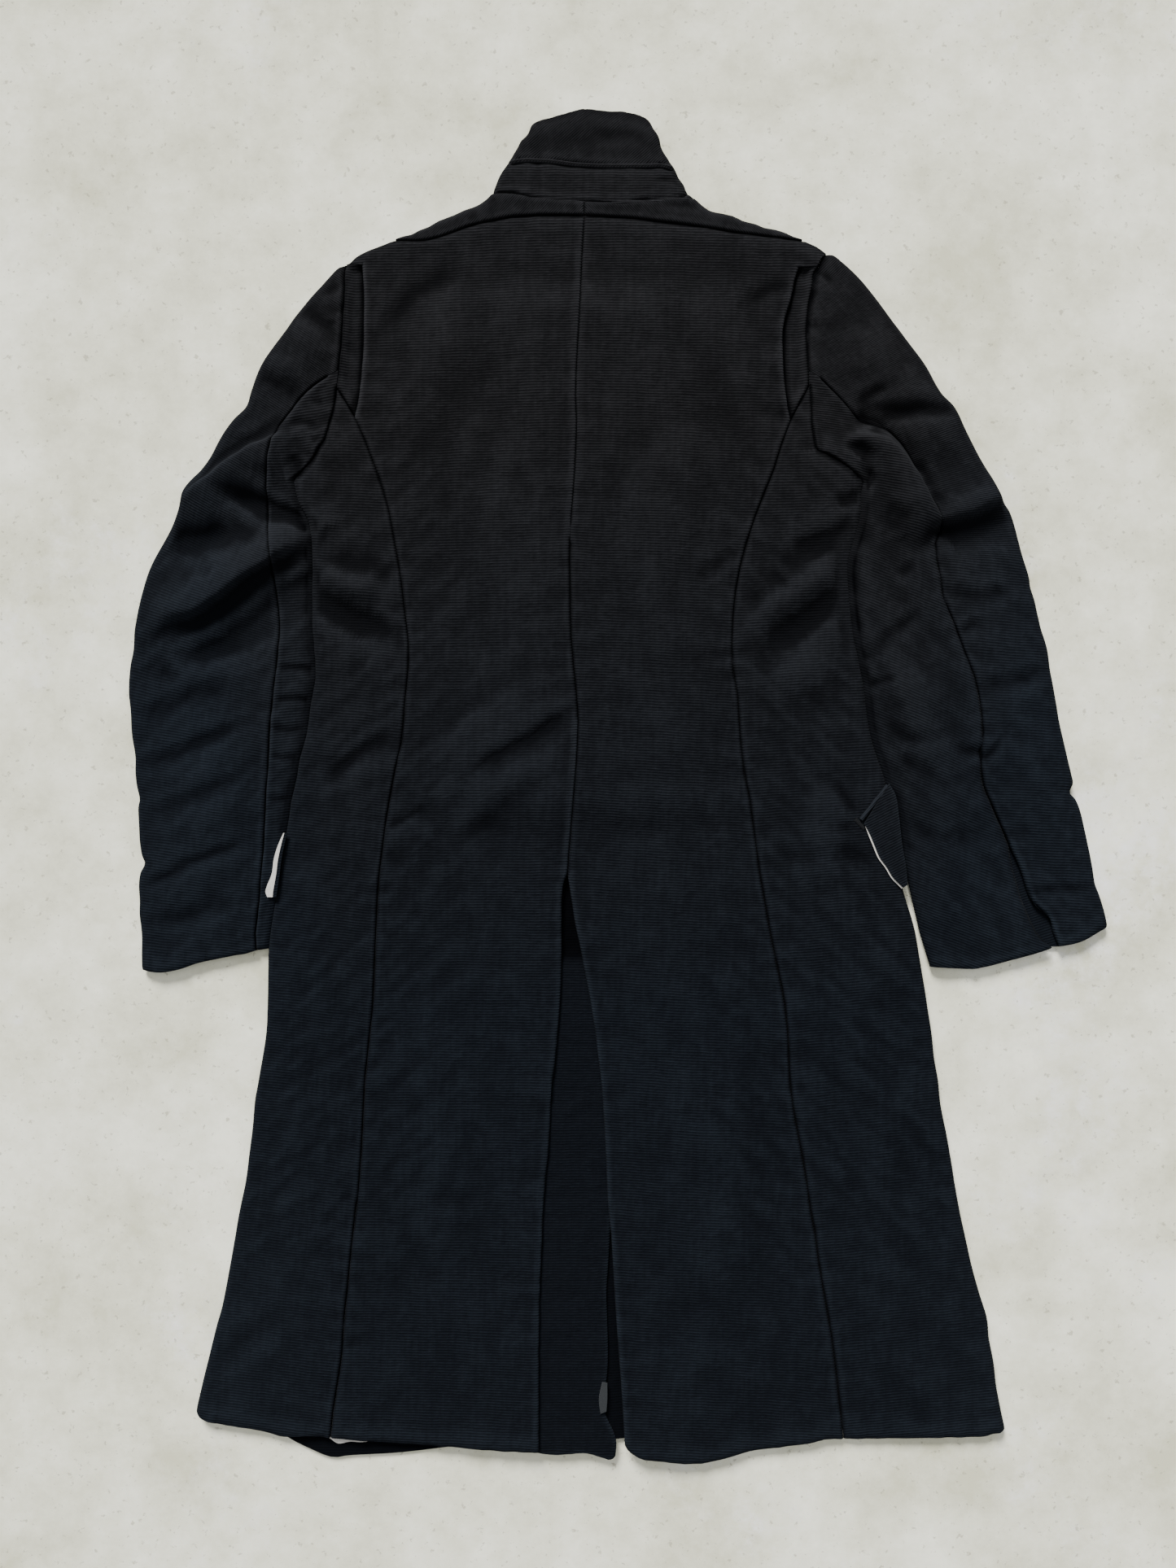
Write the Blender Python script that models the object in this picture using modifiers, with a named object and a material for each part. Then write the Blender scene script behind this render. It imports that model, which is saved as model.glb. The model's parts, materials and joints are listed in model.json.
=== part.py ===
"""Long coat of thick black ribbed cotton, laid face down, with its back showing.

Seen from above: +X is to the right, +Y towards the collar, +Z up, and the coat rests on z = 0.
Lines and tables are in millimetres and become metres when a mesh is made.
"""

from collections import namedtuple
import math

import bmesh
import bpy
import numpy as np

MM = 0.001

# Driving sizes
CLOTH = 2.5            # thickness of the cloth
REST_HEIGHT = 8.8      # top of the two flat layers, away from folds
SEAM = 0.25            # half of the gap kept at a seam
TOUCH = 0.3            # gap between a piece and what it lies on
LAYER = 0.6            # air between a layer and the one lying on it
VENT_LAYER = 1.3       # the same over the vent's underlay
CLOSURE_AIR = 1.4      # air over the doubled fronts
EDGE_TURN = 6.0        # how far in plan the cloth takes to turn round an edge
CENTRE_FRONT = -33.0   # x of the closure's line
OVERLAP = 20.0         # each front runs this far past the closure's line
BUTTON_WIDTH = 22.0
BUTTON_THICK = 3.0
BUTTON_TOP, BUTTON_STEP, BUTTON_COUNT = 400.0, 95.0, 5
UNDER_RUN = 30.0       # how far a side panel runs on under the coat

# Cross sections of the body, hem to underarm: y, then x of each edge and seam
Section = namedtuple("Section", "y left seam_left vent_left vent_right seam_right right")
SECTIONS = [Section(*row) for row in (
    (-500, -361.0, -244.0, -69.8, 0.4, 190.6, 330.5),
    (-440, -346.5, -238.8, -68.7, -3.6, 180.6, 317.0),
    (-379, -336.0, -232.7, -66.2, -7.6, 171.0, 303.0),
    (-327, -327.0, -227.0, -62.2, -10.9, 163.0, 294.2),
    (-265, -319.3, -223.8, -58.6, -14.8, 152.2, 284.2),
    (-218, -311.6, -219.4, -53.3, -20.1, 149.8, 277.4),
    (-160, -310.0, -215.2, -49.9, -30.2, 141.0, 267.0),
    (-122, -307.0, -213.6, -49.0, -38.5, 133.2, 259.5),
    (-77, -300.5, -210.8, -46.0, -46.0, 125.0, 249.5),
    (-37, -293.2, -205.8, -41.5, -41.5, 119.8, 243.5),
    (2, -286.0, -199.4, -38.7, -38.7, 113.0, 237.0),
    (46, -275.8, -190.0, -36.5, -36.5, 107.6, 223.5),
    (90, -269.5, -186.8, -37.8, -37.8, 103.0, 217.5),
    (134, -270.4, -186.0, -41.2, -41.2, 101.0, 209.5),
    (169, -271.5, -190.0, -42.2, -42.2, 103.0, 205.5),
    (196, -270.8, -193.7, -42.4, -42.4, 108.0, 204.5),
    (234, -273.7, -200.5, -41.3, -41.3, 119.6, 214.5),
    (253, -282.0, -205.0, -40.0, -40.0, 126.7, 216.5),
)]
HEM_LEFT_SIDE = ((-373.5, -552.7), (-362.5, -561.4), (-348.7, -565.0), (-325.7, -568.5), (-298.0, -573.0),
                 (-254.0, -575.5))
HEM_LEFT_BACK = ((-254.0, -575.5), (-206.0, -579.6), (-137.5, -583.7), (-69.8, -586.6))
HEM_RIGHT_BACK = ((5.6, -580.0), (20.4, -592.2), (60.5, -598.0), (90.0, -594.3), (119.5, -586.8),
                  (154.0, -582.0), (199.5, -577.2))
HEM_RIGHT_SIDE = ((199.5, -577.2), (261.5, -576.0), (315.0, -575.0), (332.4, -572.4), (342.4, -567.0))
HEM_FRONT_LEFT = ((-339.0, -562.0), (-299.0, -576.0), (-270.6, -589.0), (-251.0, -595.6), (-199.5, -591.7),
                  (-130.6, -584.2), (-70.0, -582.0), (-13.0, -581.0))
HEM_FRONT_RIGHT = ((-53.0, -579.0), (20.0, -578.0), (90.0, -580.0), (199.0, -571.0), (306.0, -569.5))

# Seams of the upper back
CENTRE_BACK_TOP = ((-38.4, 272), (-36.5, 318), (-37.0, 360), (-34.2, 415), (-31.6, 470), (-29.8, 502.4))
PRINCESS_LEFT_TOP = ((-211.0, 272), (-226.3, 312.7), (-233.0, 326.3))
PRINCESS_RIGHT_TOP = ((134.5, 272), (146.5, 307), (152.6, 323.5))
PLEAT_FOLD_LEFT = ((-233.0, 326.3), (-227.0, 360.6), (-224.8, 400), (-225.0, 440), (-226.2, 461.0))
PLEAT_FOLD_RIGHT = ((152.6, 323.5), (147.5, 352.6), (145.4, 390), (148.3, 416.4), (154.5, 442), (159.6, 458.8))
PLEAT_TIP_LEFT = ((-233.0, 326.3), (-248.5, 352.6))
PLEAT_TIP_RIGHT = ((152.6, 323.5), (169.0, 354.2))
ARM_HEAD_LEFT = ((-240.5, 461.5), (-241.6, 440), (-243.2, 416), (-245.0, 392), (-247.0, 368.0))
ARM_MIDDLE_LEFT = ((-247.0, 368.0), (-248.7, 352.6))
ARM_PIT_LEFT = ((-248.7, 352.6), (-250.9, 336.6), (-254.9, 320.7), (-260.5, 303.0), (-269.2, 289.8),
                (-279.3, 278.7), (-288.2, 272.0))
ARM_HEAD_RIGHT = ((184.2, 471.0), (176.5, 459.0), (171.4, 440), (167.0, 408), (166.8, 383), (168.4, 366.0))
ARM_MIDDLE_RIGHT = ((168.4, 366.0), (169.4, 354.0))
ARM_PIT_RIGHT = ((169.4, 354.0), (170.9, 336.6), (171.6, 320.7), (174.2, 303.0), (184.5, 292.0),
                 (198.0, 283.5), (216.5, 272.0))
SHOULDER_LEFT = ((-240.5, 461.5), (-231.7, 468.2), (-211.0, 477.7), (-197.0, 483.0))
SHOULDER_RIGHT = ((163.0, 482.6), (175.4, 477.4), (184.2, 471.0))
YOKE_OUTLINE_LEFT = ((-196.4, 484.4), (-176.0, 492), (-158.4, 500.5), (-134.5, 510), (-120.5, 515.0),
                     (-111.0, 524.0))
YOKE_OUTLINE_RIGHT = ((67.0, 520.0), (80.0, 509.0), (101.0, 504.9), (121.0, 497.7), (148.3, 489.7),
                      (162.6, 484.2))
YOKE_SEAM_LEFT = ((-197.0, 483.0), (-169.6, 482.6), (-150.4, 487.6), (-131, 494.5), (-94.6, 501.2),
                  (-60, 502.8), (-29.8, 502.4))
YOKE_SEAM_RIGHT = ((-29.8, 502.4), (0, 501.2), (38.0, 497.4), (71.7, 493.7), (110.0, 488.5), (163.0, 482.6))
STAND_SEAM_LEFT = ((-111.0, 524.0), (-93.3, 522.9), (-61, 518.2), (-29.8, 514.8))
STAND_SEAM_RIGHT = ((-29.8, 514.8), (7.8, 515.6), (46.0, 519), (67.0, 520.0))
STAND_EDGE_LEFT = ((-111.0, 524.0), (-106.0, 537.5), (-97.5, 551.5))
STAND_EDGE_RIGHT = ((67.0, 520.0), (57.5, 533.0), (50.6, 546.0))
WELT_SEAM = ((-97.5, 551.5), (-76, 553.7), (-38, 550.4), (0, 549.1), (38.4, 549.2), (50.6, 546.0))
FALL_EDGE_LEFT = ((-97.5, 551.5), (-86.4, 571), (-77.0, 585.0))
FALL_EDGE_RIGHT = ((50.6, 546.0), (40.0, 563), (31.0, 583.0))
COLLAR_TOP = ((-77.0, 585.0), (-69.5, 588.2), (-52, 593.2), (-29, 598.0), (0, 596.5), (17, 594), (31.0, 583.0))

# Sleeves: outer edge and back seam, cuff to shoulder, and the cuff from outer corner inwards
OUTER_LEFT = ((-421.6, -162.1), (-421.8, -130), (-423.6, -95), (-419.8, -69), (-423.6, -35), (-426, 0),
              (-430.3, 44), (-433.5, 88), (-428.5, 128), (-420.7, 171.4), (-404, 211), (-387.7, 244),
              (-362.3, 290.4), (-340.2, 325.6), (-328, 341), (-318.2, 367.5), (-291.8, 405), (-263.2, 442.4),
              (-247.7, 458.5), (-240.5, 461.5))
SEAM_SLEEVE_LEFT = ((-320.0, -145.0), (-317.7, -109), (-313.6, -61), (-310.5, 0), (-305, 78), (-301, 138),
                    (-307, 200), (-310, 260), (-300.6, 315.7), (-277, 345.0), (-247.0, 368.0))
CUFF_LEFT = ((-421.6, -162.1), (-401.6, -164.3), (-372, -156.3), (-341.8, -150), (-320.0, -145.0))
CUFF_INNER_LEFT = ((-320.0, -145.0), (-309.9, -143.2))
OUTER_RIGHT = ((433.5, -124.0), (427.0, -98), (419.5, -70), (412.3, -35.7), (402.0, -6), (400.0, 12),
               (393.4, 43.5), (386.4, 81), (379.7, 122), (368.6, 165), (357.9, 205), (347.9, 241.8),
               (331.4, 270.5), (307, 316.8), (285.1, 349), (256.5, 392.8), (227.8, 432.5), (205, 459),
               (190.5, 470.5), (184.2, 471.0))
SEAM_SLEEVE_RIGHT = ((386.0, -142.0), (372.0, -107), (356, -75), (345.4, -52), (331, -18), (321, 13),
                     (320.8, 65), (308.3, 113.5), (289, 165), (279.5, 215), (262, 268), (232, 306),
                     (199.3, 339.8), (168.4, 366.0))
CUFF_RIGHT = ((386.0, -142.0), (404.3, -138.4), (423.9, -129.5), (433.5, -124.0))
CUFF_INNER_RIGHT = ((277.5, -159.5), (313.2, -161.3), (350.7, -152.7), (386.0, -142.0))
INNER_RIGHT = ((277.5, -159.5), (265, -114), (257, -80), (250.8, -50), (245.0, -10), (238.6, 2), (225.0, 46),
               (219.0, 90), (211.2, 134), (207.2, 169), (206.2, 196), (216.2, 234), (218.2, 253), (216.5, 272.0))

# Folds of the cloth: a rounded path, how high its crest stands, and how wide each side is.
# "soft" is the side to the left of the path's direction, "sharp" the side to the right.
Fold = namedtuple("Fold", "name path lift soft sharp")
FOLDS = [Fold(*row) for row in (
    ("left elbow upper", ((-300, 306), (-331, 288), (-362, 264), (-390, 236)), 13, 16, 26),
    ("left elbow lower", ((-391, 149), (-351, 178), (-317, 196), (-284, 214)), 14, 30, 13),
    ("left forearm", ((-405, 88), (-372, 112), (-330, 122)), 4, 30, 22),
    ("left arm head", ((-262, 415), (-285, 385), (-303, 352)), 6, 26, 26),
    ("left cuff", ((-372, -110), (-368, -30), (-370, 40)), 3, 34, 34),
    ("right elbow upper", ((286, 240), (268, 268), (250, 300), (215, 316), (190, 311)), 12, 16, 16),
    ("right elbow lower", ((345, 219), (312, 206), (283, 196), (250, 176)), 9, 14, 30),
    ("right arm head", ((196, 420), (228, 385), (262, 345), (300, 290)), 7, 26, 30),
    ("right forearm", ((240, 120), (272, 60), (290, 0)), 4, 26, 26),
    ("right cuff", ((392, -70), (375, -10), (360, 60), (345, 130)), 3, 28, 28),
    ("below vent crease", ((-60, 28), (-110, -6), (-160, -44)), 3.2, 12, 45),
    ("above vent crease", ((-70, 92), (-120, 60), (-178, 22)), 2.2, 40, 14),
    ("left flank", ((-262, 182), (-236, 168), (-205, 172)), 3.5, 16, 12),
    ("right flank upper", ((112, 138), (160, 172), (200, 192)), 3.5, 14, 12),
    ("right flank lower", ((190, 120), (160, 100), (126, 96)), 2.6, 20, 14),
    ("left shoulder", ((-120, 430), (-170, 375), (-205, 300)), 2.5, 36, 36),
    ("right shoulder", ((60, 440), (100, 400), (125, 330)), 2.5, 36, 36),
    ("right pocket", ((190, 10), (178, -40), (190, -95)), 3, 24, 24),
    ("left skirt", ((-150, -180), (-165, -320), (-170, -450)), 2.4, 45, 45),
    ("right skirt", ((70, -200), (85, -340), (95, -470)), 2.6, 45, 45),
)]


def smooth_points(points, per_span=16):
    """A rounded line through the points, as many short chords."""
    p = [np.array(q, float) for q in points]
    if len(p) == 2:
        return np.linspace(p[0], p[1], per_span + 1)
    p = [2 * p[0] - p[1]] + p + [2 * p[-1] - p[-2]]
    out = []
    for a, b, c, d in zip(p, p[1:], p[2:], p[3:]):
        ta = 0.0
        tb = ta + max(np.linalg.norm(b - a), 1e-6) ** 0.5
        tc = tb + max(np.linalg.norm(c - b), 1e-6) ** 0.5
        td = tc + max(np.linalg.norm(d - c), 1e-6) ** 0.5
        for t in np.linspace(tb, tc, per_span, endpoint=False):
            ab = a * (tb - t) / (tb - ta) + b * (t - ta) / (tb - ta)
            bc = b * (tc - t) / (tc - tb) + c * (t - tb) / (tc - tb)
            cd = c * (td - t) / (td - tc) + d * (t - tc) / (td - tc)
            abc = ab * (tc - t) / (tc - ta) + bc * (t - ta) / (tc - ta)
            bcd = bc * (td - t) / (td - tb) + cd * (t - tb) / (td - tb)
            out.append(abc * (tc - t) / (tc - tb) + bcd * (t - tb) / (tc - tb))
    out.append(p[-2])
    return np.array(out)


def along(line, count):
    """The line cut into count chords of even length."""
    steps = np.linalg.norm(np.diff(line, axis=0), axis=1)
    run = np.concatenate(([0.0], np.cumsum(steps)))
    at = np.linspace(0.0, run[-1], count + 1)
    return np.column_stack([np.interp(at, run, line[:, k]) for k in range(line.shape[1])])


def curve(points, count):
    return along(smooth_points(points), count)


def finer(line, factor):
    """Each chord split into factor equal chords, so the line itself stays as it is."""
    parts = [np.linspace(a, b, factor, endpoint=False) for a, b in zip(line, line[1:])]
    return np.vstack(parts + [line[-1:]])


def join(*lines):
    """Lines that follow each other, made one."""
    return np.vstack([lines[0]] + [line[1:] for line in lines[1:]])


def sideways(line):
    """The unit direction to the left of the line at each of its points."""
    ahead = np.gradient(line, axis=0)
    ahead /= np.linalg.norm(ahead, axis=1)[:, None]
    return np.column_stack((-ahead[:, 1], ahead[:, 0]))


def moved(line, distance):
    """The line moved to its left by the distance, or to its right by a negative one."""
    return line + sideways(line) * distance


def after(line, distance):
    """The line without its first stretch."""
    run = np.concatenate(([0.0], np.cumsum(np.linalg.norm(np.diff(line, axis=0), axis=1))))
    start = np.array([np.interp(distance, run, line[:, k]) for k in (0, 1)])
    return np.vstack((start, line[run > distance + 0.5]))


def smooth_step(t):
    t = np.clip(t, 0.0, 1.0)
    return t * t * (3 - 2 * t)


def band(x, low, high, fade):
    """1 between low and high, fading to 0 outside them."""
    return smooth_step((x - low + fade) / fade) * smooth_step((high + fade - x) / fade)


def button_lift(x, y):
    """How high the closure stands over the buttons that lie under it."""
    half = BUTTON_WIDTH / 2 + 3
    low = BUTTON_TOP - BUTTON_STEP * (BUTTON_COUNT - 1)
    return (BUTTON_THICK + 0.5) * band(x, CENTRE_FRONT - half, CENTRE_FRONT + half, 30) * band(
        y, low - 20, BUTTON_TOP + 20, 40)


def overlap_lift(x, y):
    """How high the front that lies over the other one stands in the closure."""
    return (button_lift(x, y) + CLOTH + 0.4) * smooth_step((CENTRE_FRONT + OVERLAP + 30 - x) / 30)


def fold_height(x, y):
    """What the folds add to the height of the cloth at each place."""
    total = np.zeros_like(x)
    for fold in FOLDS:
        path = along(smooth_points(fold.path, 6), 18)
        start, end = path[:-1], path[1:]
        chord = end - start
        size = np.sum(chord * chord, axis=1)
        dx = x[..., None] - start[:, 0]
        dy = y[..., None] - start[:, 1]
        t = np.clip((dx * chord[:, 0] + dy * chord[:, 1]) / size, 0, 1)
        away = np.hypot(dx - t * chord[:, 0], dy - t * chord[:, 1])
        nearest = np.argmin(away, axis=-1)[..., None]
        cross = np.take_along_axis(chord[:, 0] * dy - chord[:, 1] * dx, nearest, -1)[..., 0]
        distance = np.take_along_axis(away, nearest, -1)[..., 0]
        run = (nearest[..., 0] + np.take_along_axis(t, nearest, -1)[..., 0]) / len(chord)
        width = np.where(cross > 0, fold.soft, fold.sharp)
        ends = smooth_step(np.minimum(run, 1 - run) / 0.3)
        total += fold.lift * (0.15 + 0.85 * ends) * np.exp(-(distance / width) ** 2 * 1.4)
    return total


def from_line(line, x, y):
    """Distance in plan to a line."""
    start, chord = line[:-1], np.diff(line, axis=0)
    dx, dy = x[..., None] - start[:, 0], y[..., None] - start[:, 1]
    t = np.clip((dx * chord[:, 0] + dy * chord[:, 1]) / np.sum(chord * chord, axis=1), 0, 1)
    return np.min(np.hypot(dx - t * chord[:, 0], dy - t * chord[:, 1]), axis=-1)


SHOULDER_LINES = (smooth_points(SHOULDER_LEFT, 4), smooth_points(SHOULDER_RIGHT, 4),
                  smooth_points(YOKE_OUTLINE_LEFT, 4), smooth_points(YOKE_OUTLINE_RIGHT, 4))
SHOULDER_DROP = 2.8    # the back's cloth comes down this far to the shoulder seam
SHOULDER_ROUND = 9.0


def height(x, y):
    """Top of the upper layer of cloth."""
    centre = band(x, CENTRE_FRONT - OVERLAP - 8, CENTRE_FRONT + OVERLAP + 20, 40) * band(y, -700, 500, 20)
    rise = centre * (CLOTH + CLOSURE_AIR + button_lift(np.full_like(x, CENTRE_FRONT), y))
    near = np.min([from_line(line, x, y) for line in SHOULDER_LINES], axis=0)
    drop = SHOULDER_DROP * (1 - np.sqrt(1 - (1 - np.clip(near / SHOULDER_ROUND, 0, 1)) ** 2))
    return REST_HEIGHT + rise + fold_height(x, y) - drop


def coons(bottom, top, left, right, gaps=(0, 0, 0, 0)):
    """A net of places between four lines, held back from them by the gaps (bottom, top, left, right).
    Bottom and top run to the net's right, left and right run upwards."""
    u = np.linspace(0, 1, len(bottom))[:, None, None]
    v = np.linspace(0, 1, len(left))[None, :, None]
    across = (1 - v) * bottom[:, None] + v * top[:, None]
    upward = (1 - u) * left[None] + u * right[None]
    corners = ((1 - u) * (1 - v) * bottom[0] + u * (1 - v) * bottom[-1]
               + (1 - u) * v * top[0] + u * v * top[-1])
    net = across + upward - corners
    below, above, before, behind = gaps
    shift = np.zeros_like(net)
    shift[:, 0] += sideways(bottom) * below
    shift[:, -1] -= sideways(top) * above
    shift[0] -= sideways(left) * before
    shift[-1] += sideways(right) * behind
    return net + shift


def layer(net, low, high):
    """The outer and inner faces of cloth over a net of places."""
    size = net.shape[:-1]
    outer = np.concatenate((net, (high * np.ones(size))[..., None]), axis=-1)
    inner = np.concatenate((net, (low * np.ones(size))[..., None]), axis=-1)
    return outer, inner


def upper(net):
    top = height(net[..., 0], net[..., 1])
    return layer(net, top - CLOTH, top)


def on_floor(net):
    return layer(net, CLOTH, 0.0)


def turned(edge, tangent, steps=4):
    """Cloth that turns round an edge, from the top layer down to the floor."""
    top = height(tangent[:, 0], tangent[:, 1])
    reach = np.linalg.norm(edge - tangent, axis=1)
    faces = []
    for gap in (0.0, CLOTH):
        rows = []
        for angle in np.linspace(0, math.pi, steps + 1):
            place = tangent + (edge - tangent) * ((1 - gap / reach) * math.sin(angle))[:, None]
            rows.append(np.column_stack((place, top / 2 + (top / 2 - gap) * math.cos(angle))))
        faces.append(np.array(rows))
    return tuple(faces)


def inside_edge(edge, side, start, end):
    """Where the cloth starts to turn: inside the edge, and on the end lines at its ends.
    side is 1 where the cloth lies to the left of the edge's direction, or else -1."""
    line = moved(edge, side * EDGE_TURN)
    line[0], line[-1] = start, end
    return line


BLACK = ("black ribbed cotton", (0.012, 0.012, 0.014), 0.9)
PALE = ("pale cotton lining", (0.62, 0.60, 0.56), 0.8)
GREY = ("grey lining", (0.20, 0.20, 0.20), 0.8)
BUTTON = ("black button", (0.02, 0.018, 0.016), 0.4)


def finish(thing, look):
    name, colour, roughness = look
    material = bpy.data.materials.get(name)
    if not material:
        material = bpy.data.materials.new(name)
        material.use_nodes = True
        shader = material.node_tree.nodes["Principled BSDF"]
        shader.inputs["Base Color"].default_value = (*colour, 1)
        shader.inputs["Roughness"].default_value = roughness
        shader.inputs["Metallic"].default_value = 0
    thing.data.materials.append(material)


def cloth_piece(name, *stretches, look=BLACK):
    """One closed wall. A stretch is the outer and inner faces over a net, or over a closed outline,
    and stretches that meet have the same places there."""
    numbers, outer_places, inner_places, faces = {}, [], [], []

    def number(outer, inner):
        key = tuple(np.round(outer, 3))
        if key not in numbers:
            numbers[key] = len(outer_places)
            outer_places.append(outer)
            inner_places.append(inner)
        return numbers[key]

    for outer, inner in stretches:
        if outer.ndim == 2:
            faces.append([number(p, q) for p, q in zip(outer, inner)])
            continue
        wide, long = outer.shape[:2]
        at = [[number(outer[i, j], inner[i, j]) for j in range(long)] for i in range(wide)]
        for i in range(wide - 1):
            for j in range(long - 1):
                faces.append([at[i][j], at[i + 1][j], at[i + 1][j + 1], at[i][j + 1]])

    count = len(outer_places)
    mesh = bmesh.new()
    for place in outer_places + inner_places:
        mesh.verts.new(place * MM)
    mesh.verts.ensure_lookup_table()
    mesh.verts.index_update()
    for face in faces:
        mesh.faces.new([mesh.verts[k] for k in face])
    rim = [edge for edge in mesh.edges if len(edge.link_faces) == 1]
    rim = [(edge.verts[0].index, edge.verts[1].index) for edge in rim]
    for face in faces:
        mesh.faces.new([mesh.verts[k + count] for k in reversed(face)])
    for a, b in rim:
        mesh.faces.new([mesh.verts[k] for k in (a, b, b + count, a + count)])
    bmesh.ops.recalc_face_normals(mesh, faces=mesh.faces)
    data = bpy.data.meshes.new(name)
    mesh.to_mesh(data)
    mesh.free()
    data.shade_smooth()
    data.set_sharp_from_angle(angle=math.radians(50))
    thing = bpy.data.objects.new(name, data)
    COAT.objects.link(thing)
    finish(thing, look)
    return thing


for old in list(bpy.data.objects):
    bpy.data.objects.remove(old)
COAT = bpy.data.collections.new("long coat")
bpy.context.scene.collection.children.link(COAT)

# Counts of chords, shared by the pieces that meet
SIDE_ROWS = 20          # hem to the foot of the action pleat
BACK_LOW_ROWS = 11      # rows of the back below the top of the open vent
PLEAT_ROWS = 3
SHOULDER_STEPS = 2
YOKE_STEPS = 4
HEAD_STEPS = 4
PIT_STEPS = 5
UNDER_STEPS = 2         # chords of the armhole that a side panel takes under the coat


def column(name):
    return tuple((getattr(row, name), row.y) for row in SECTIONS)


def like(points, other):
    """A rounded line through the points, cut at the same shares of its length as the other line."""
    line = smooth_points(points)
    run = np.concatenate(([0.0], np.cumsum(np.linalg.norm(np.diff(line, axis=0), axis=1))))
    share = np.concatenate(([0.0], np.cumsum(np.linalg.norm(np.diff(other, axis=0), axis=1))))
    share *= run[-1] / share[-1]
    return np.column_stack([np.interp(share, run, line[:, k]) for k in (0, 1)])


def straight(start, end, count=1):
    return np.linspace(np.array(start, float), np.array(end, float), count + 1)


# Seams that two or more pieces share, all running upwards or to the right
class Side:
    """The shared lines of one side of the body."""

    def __init__(self, side, hem, princess_top, tip, head, middle, pit, fold, shoulder, outline, yoke, stand):
        corner, pivot = (hem[0], hem[-1]) if side == "left" else (hem[-1], hem[0])
        self.left = side == "left"
        self.pit = curve(pit, PIT_STEPS)
        self.middle = straight(*middle)
        self.head = curve(head, HEAD_STEPS)
        self.hem = curve(hem, PIT_STEPS)
        self.seam = curve((pivot,) + column("seam_" + side) + princess_top, SIDE_ROWS)
        self.tip = straight(*tip)
        self.edge = curve((corner,) + column(side) + (pit[-1],), SIDE_ROWS + 1)
        self.fold = curve(fold, PLEAT_ROWS)
        self.shoulder = curve(shoulder, SHOULDER_STEPS)
        self.outline = curve(outline, YOKE_STEPS)
        self.yoke = curve(yoke, YOKE_STEPS)
        self.stand = curve(stand, YOKE_STEPS)
        hem_from_corner = self.hem if self.left else self.hem[::-1]
        self.hem_in = after(hem_from_corner, EDGE_TURN)
        self.pit_in = after(self.pit[::-1], EDGE_TURN)
        cloth = -1 if self.left else 1
        self.tangent = inside_edge(self.edge, cloth, self.hem_in[0], self.pit_in[0])
        self.under = moved(self.tangent, cloth * UNDER_RUN)
        self.under[0] = self.tangent[0] + (self.hem_in[1] - self.hem_in[0]) * 1.2
        self.under[-1] = self.pit_in[UNDER_STEPS]
        self.armhole_rest = join(self.pit_in[UNDER_STEPS:], self.middle[::-1], self.head[::-1])


LEFT = Side("left", HEM_LEFT_SIDE, PRINCESS_LEFT_TOP, PLEAT_TIP_LEFT, ARM_HEAD_LEFT, ARM_MIDDLE_LEFT,
            ARM_PIT_LEFT, PLEAT_FOLD_LEFT, SHOULDER_LEFT, YOKE_OUTLINE_LEFT, YOKE_SEAM_LEFT, STAND_SEAM_LEFT)
RIGHT = Side("right", HEM_RIGHT_SIDE, PRINCESS_RIGHT_TOP, PLEAT_TIP_RIGHT, ARM_HEAD_RIGHT, ARM_MIDDLE_RIGHT,
             ARM_PIT_RIGHT, PLEAT_FOLD_RIGHT, SHOULDER_RIGHT, YOKE_OUTLINE_RIGHT, YOKE_SEAM_RIGHT,
             STAND_SEAM_RIGHT)


def net_between(left, low, high, edge_line, seam_line, gaps):
    """A net from an edge inwards to a seam. low and high run from the edge to the seam.
    gaps are those at low, high, edge and seam."""
    at_low, at_high, at_edge, at_seam = gaps
    if left:
        return coons(low, high, edge_line, seam_line, (at_low, at_high, at_edge, at_seam))
    return coons(low[::-1], high[::-1], seam_line, edge_line, (at_low, at_high, at_seam, at_edge))


# Side panels: from the princess seam, round the edge of the coat and on under it
def side_panel(name, side):
    seam = join(side.seam, side.tip)
    net = net_between(side.left, side.hem_in, side.pit_in, side.tangent, seam, (0, SEAM, 0, SEAM))
    tangent = net[0] if side.left else net[-1]
    edge = side.edge.copy()
    edge[-1] += tangent[-1] - side.tangent[-1]
    low = straight(side.tangent[0], side.under[0], UNDER_STEPS)
    under = net_between(side.left, low, side.pit_in[:UNDER_STEPS + 1], side.tangent, side.under,
                        (0, SEAM, 0, SEAM))
    cloth_piece(name, upper(net), turned(edge, tangent), on_floor(under))


side_panel("side_left", LEFT)
side_panel("side_right", RIGHT)


# Back panels: they meet at the centre-back seam, and below it the vent lies open
VENT_SECTIONS = 9       # sections from the hem up to where the vent's edges meet
CENTRE = curve(column("vent_left")[VENT_SECTIONS - 1:] + CENTRE_BACK_TOP,
               SIDE_ROWS + PLEAT_ROWS + 1 - BACK_LOW_ROWS)


def back_panel(name, side, hem, vent):
    outer = join(side.seam, side.fold, straight(side.fold[-1], side.shoulder[0 if side.left else -1]))
    corner = hem[-1] if side.left else hem[0]
    vent_edge = curve((corner,) + column(vent)[:VENT_SECTIONS], BACK_LOW_ROWS)
    inner = join(vent_edge, CENTRE)
    steps = SHOULDER_STEPS + YOKE_STEPS
    low = curve(hem, steps)
    if side.left:
        net = coons(low, join(side.shoulder, side.yoke), outer, inner, (0, SEAM, SEAM, SEAM))
    else:
        net = coons(low, join(side.yoke, side.shoulder), inner, outer, (0, SEAM, SEAM, SEAM))
    cloth_piece(name, upper(net))


back_panel("back_left", LEFT, HEM_LEFT_BACK, "vent_left")
back_panel("back_right", RIGHT, HEM_RIGHT_BACK, "vent_right")


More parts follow.
